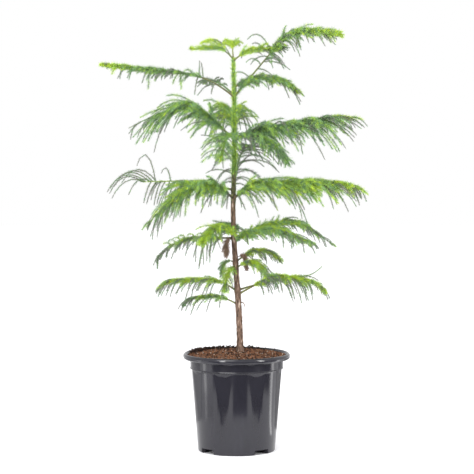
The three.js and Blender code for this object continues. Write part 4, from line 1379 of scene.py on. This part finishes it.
class POTTEDPINE_OT_branchlets(Operator):
    """Drooping branchlets in two ranks on every frond, with strays that arch out of rank"""

    bl_idname = "pottedpine.branchlets"
    bl_label = "Branchlets"

    def execute(self, context):
        settings = context.scene.pottedpine_foliage
        grown = [grow(frond, number) for number, frond in enumerate(FRONDS)]
        lines = np.vstack([growth.lines for growth in grown])
        taper = np.linspace(1.0, TWIG_END, DROOP_STEPS + 1) * settings.twig_radius / MM
        stoutness = np.where(np.concatenate([growth.old for growth in grown]), OLD_TWIG, 1.0)
        points, faces = tubes(lines, stoutness[:, None] * taper, BRANCHLET_SIDES)
        twig = twig_material("branchlet_bark", settings.twig)
        mesh_object("branchlets", points, faces, twig, frond_nodes(FRONDS), "needles")
        return {"FINISHED"}


class POTTEDPINE_OT_needles(Operator):
    """Needles on every branchlet, stem and the young trunk, in sprays of five tones"""

    bl_idname = "pottedpine.needles"
    bl_label = "Needle Sprays"

    def execute(self, context):
        settings = context.scene.pottedpine_foliage
        every = [trunk_needles(settings, context.scene.pottedpine_bark)]
        for number, frond in enumerate(FRONDS):
            every.append(frond_needles(frond, grow(frond, number), settings, number))
        needles = joined(every)
        kinds = np.clip(np.rint(needles.tones), 0, len(TONES) - 1).astype(int)
        for kind, tone in enumerate(TONES):
            material = needle_material(tone, getattr(settings, tone))
            chosen = np.flatnonzero(kinds == kind)
            for number, start in enumerate(range(0, len(chosen), NEEDLES_A_PIECE)):
                some = chosen[start:start + NEEDLES_A_PIECE]
                points, faces = needle_mesh(Needles(*(column[some] for column in needles)))
                mesh_object(f"needles_{tone}_{number + 1}", points, faces, material, frond_nodes(FRONDS),
                            "needles", smooth_faces=False)
        return {"FINISHED"}


class POTTEDPINE_OT_dead(Operator):
    """Dead brown sprays folded against the trunk, and a bare stub lower down"""

    bl_idname = "pottedpine.dead"
    bl_label = "Dead Sprays"

    def execute(self, context):
        settings = context.scene.pottedpine_foliage
        needles, twigs = [], []
        shares = np.linspace(0, 1, DROOP_STEPS + 1)
        for seed, frond in enumerate(DEAD, DEAD_SEED):
            growth = grow(frond, seed)
            needles.append(frond_needles(frond, growth, settings, seed))
            lines = np.vstack([growth.lines, on_line(growth.axis, shares)[0][None]])
            twigs.append(tubes(lines, np.full(lines.shape[:2], DEAD_TWIG), DEAD_SIDES))
        stub = on_line(frond_axis(STUB), shares)[0][None]
        twigs.append(tubes(stub, np.linspace(*STUB_RADII, DROOP_STEPS + 1)[None], DEAD_SIDES))
        brown = crumb_material("dead_twig", shade(settings.dead, 0.8))
        mesh_object("dead_twigs", *stacked(twigs), brown, frond_nodes(DEAD), "dead_needles")
        material = needle_material("dead", settings.dead)
        mesh_object("dead_needles", *needle_mesh(joined(needles)), material, frond_nodes(DEAD),
                    "dead_needles", smooth_faces=False)
        return {"FINISHED"}


class POTTEDPINE_OT_stage(Operator):
    """Pale floor, even white light with a large key and two tall strips, reflected cards and the camera"""

    bl_idname = "pottedpine.stage"
    bl_label = "Stage"

    def execute(self, context):
        settings = context.scene.pottedpine_stage
        self.make_floor(settings)
        self.make_sky(context.scene, settings)
        for name, place, target, size, power in LIGHTS:
            self.make_light(name, place, target, size, getattr(settings, power))
        self.make_cards()
        self.make_camera(context.scene, settings)
        context.scene.view_settings.view_transform = "Standard"
        return {"FINISHED"}

    def make_floor(self, settings):
        """A wide ring with a faint glow, and a disc with none under the pot."""
        turns = np.arange(FLOOR_SEGMENTS) * 2 * math.pi / FLOOR_SEGMENTS
        circle = np.stack([np.cos(turns), np.sin(turns), np.zeros(FLOOR_SEGMENTS)], axis=-1)
        inner, outer = circle * FLOOR_INNER, circle * FLOOR_RADIUS
        count = FLOOR_SEGMENTS
        ring = [(i, (i + 1) % count, (i + 1) % count + count, i + count) for i in range(count)]
        pieces = (
            ("stage_floor", np.vstack([outer, inner]), ring, FLOOR_GLOW),
            ("stage_under_pot", inner, [tuple(range(count))], 0.0),
        )
        for name, points, faces, glow in pieces:
            floor = self.flat_piece(name, points, faces, settings.floor, glow)
            floor.location.z = -FLOOR_DROP
            bpy.context.collection.objects.link(floor)

    def flat_piece(self, name, points, faces, colour, glow):
        """A flat piece that isn't in the scene yet."""
        mesh = bpy.data.meshes.new(name)
        mesh.from_pydata([tuple(point) for point in points], [], faces)
        mesh.materials.append(stage_material(name, colour, glow))
        return bpy.data.objects.new(name, mesh)

    def make_cards(self):
        """Dark and bright cards that only the plastic's reflections show."""
        for number, (start, end, inner, outer, glow) in enumerate(CARDS):
            turns = np.radians(np.linspace(start, end, CARD_STEPS + 1))
            points = [
                (radius * math.sin(turn), -radius * math.cos(turn), CARD_HEIGHT)
                for radius in (inner, outer) for turn in turns
            ]
            faces = [(i, i + 1, i + CARD_STEPS + 2, i + CARD_STEPS + 1) for i in range(CARD_STEPS)]
            card = self.flat_piece(f"stage_card_{number}", points, faces, CARD_COLOUR, glow)
            card.visible_camera = False
            card.visible_diffuse = False
            card.visible_shadow = False
            bpy.context.collection.objects.link(card)

    def make_sky(self, scene, settings):
        world = bpy.data.worlds.new("studio_sky")
        scene.world = world
        world.use_nodes = True
        background = world.node_tree.nodes["Background"]
        set_inputs(background, {"Color": WHITE, "Strength": settings.sky_strength})

    def make_light(self, name, place, target, size, power):
        light = bpy.data.lights.new(name, "AREA")
        light.shape = "RECTANGLE"
        light.size, light.size_y = size
        light.energy = power
        lamp = bpy.data.objects.new(name, light)
        lamp.location = place
        lamp.rotation_euler = (Vector(target) - Vector(place)).to_track_quat("-Z", "Y").to_euler()
        bpy.context.collection.objects.link(lamp)

    def make_camera(self, scene, settings):
        data = bpy.data.cameras.new("photo_camera")
        data.sensor_width = SENSOR_WIDTH
        data.lens = SENSOR_WIDTH * FOCAL_PIXELS / FRAME_PIXELS
        data.shift_x = CENTRE_SHIFT_PIXELS / FRAME_PIXELS
        camera = bpy.data.objects.new("photo_camera", data)
        camera.location = (0.0, -settings.camera_distance, settings.camera_height)
        camera.rotation_euler = (math.pi / 2 - settings.camera_pitch, 0.0, 0.0)
        bpy.context.collection.objects.link(camera)
        scene.camera = camera


MAKERS = (
    POTTEDPINE_OT_stage,
    POTTEDPINE_OT_pot,
    POTTEDPINE_OT_soil,
    POTTEDPINE_OT_trunk,
    POTTEDPINE_OT_boughs,
    POTTEDPINE_OT_branchlets,
    POTTEDPINE_OT_needles,
    POTTEDPINE_OT_dead,
)


class POTTEDPINE_PT_sidebar(Panel):
    """Makes the pieces of the potted pine"""

    bl_idname = "POTTEDPINE_PT_sidebar"
    bl_label = "Potted Pine"
    bl_space_type = "VIEW_3D"
    bl_region_type = "UI"
    bl_category = "Potted Pine"

    def draw(self, context):
        layout = self.layout
        for group in SETTINGS:
            settings = getattr(context.scene, group)
            box = layout.box()
            for name in settings.__annotations__:
                box.prop(settings, name)
        for maker in MAKERS:
            layout.operator(maker.bl_idname)


SETTINGS = {
    "pottedpine_foliage": PottedPineFoliage,
    "pottedpine_bark": PottedPineBark,
    "pottedpine_pot": PottedPinePot,
    "pottedpine_stage": PottedPineStage,
}
CLASSES = (*SETTINGS.values(), *MAKERS, POTTEDPINE_PT_sidebar)


def register():
    for each in CLASSES:
        bpy.utils.register_class(each)
    for name, group in SETTINGS.items():
        setattr(bpy.types.Scene, name, PointerProperty(type=group))


def unregister():
    for name in SETTINGS:
        delattr(bpy.types.Scene, name)
    for each in reversed(CLASSES):
        bpy.utils.unregister_class(each)


def main():
    register()
    bpy.ops.pottedpine.stage()
    bpy.ops.pottedpine.pot()
    bpy.ops.pottedpine.soil()
    bpy.ops.pottedpine.trunk()
    bpy.ops.pottedpine.boughs()
    bpy.ops.pottedpine.branchlets()
    bpy.ops.pottedpine.needles()
    bpy.ops.pottedpine.dead()


if __name__ == "__main__":
    main()
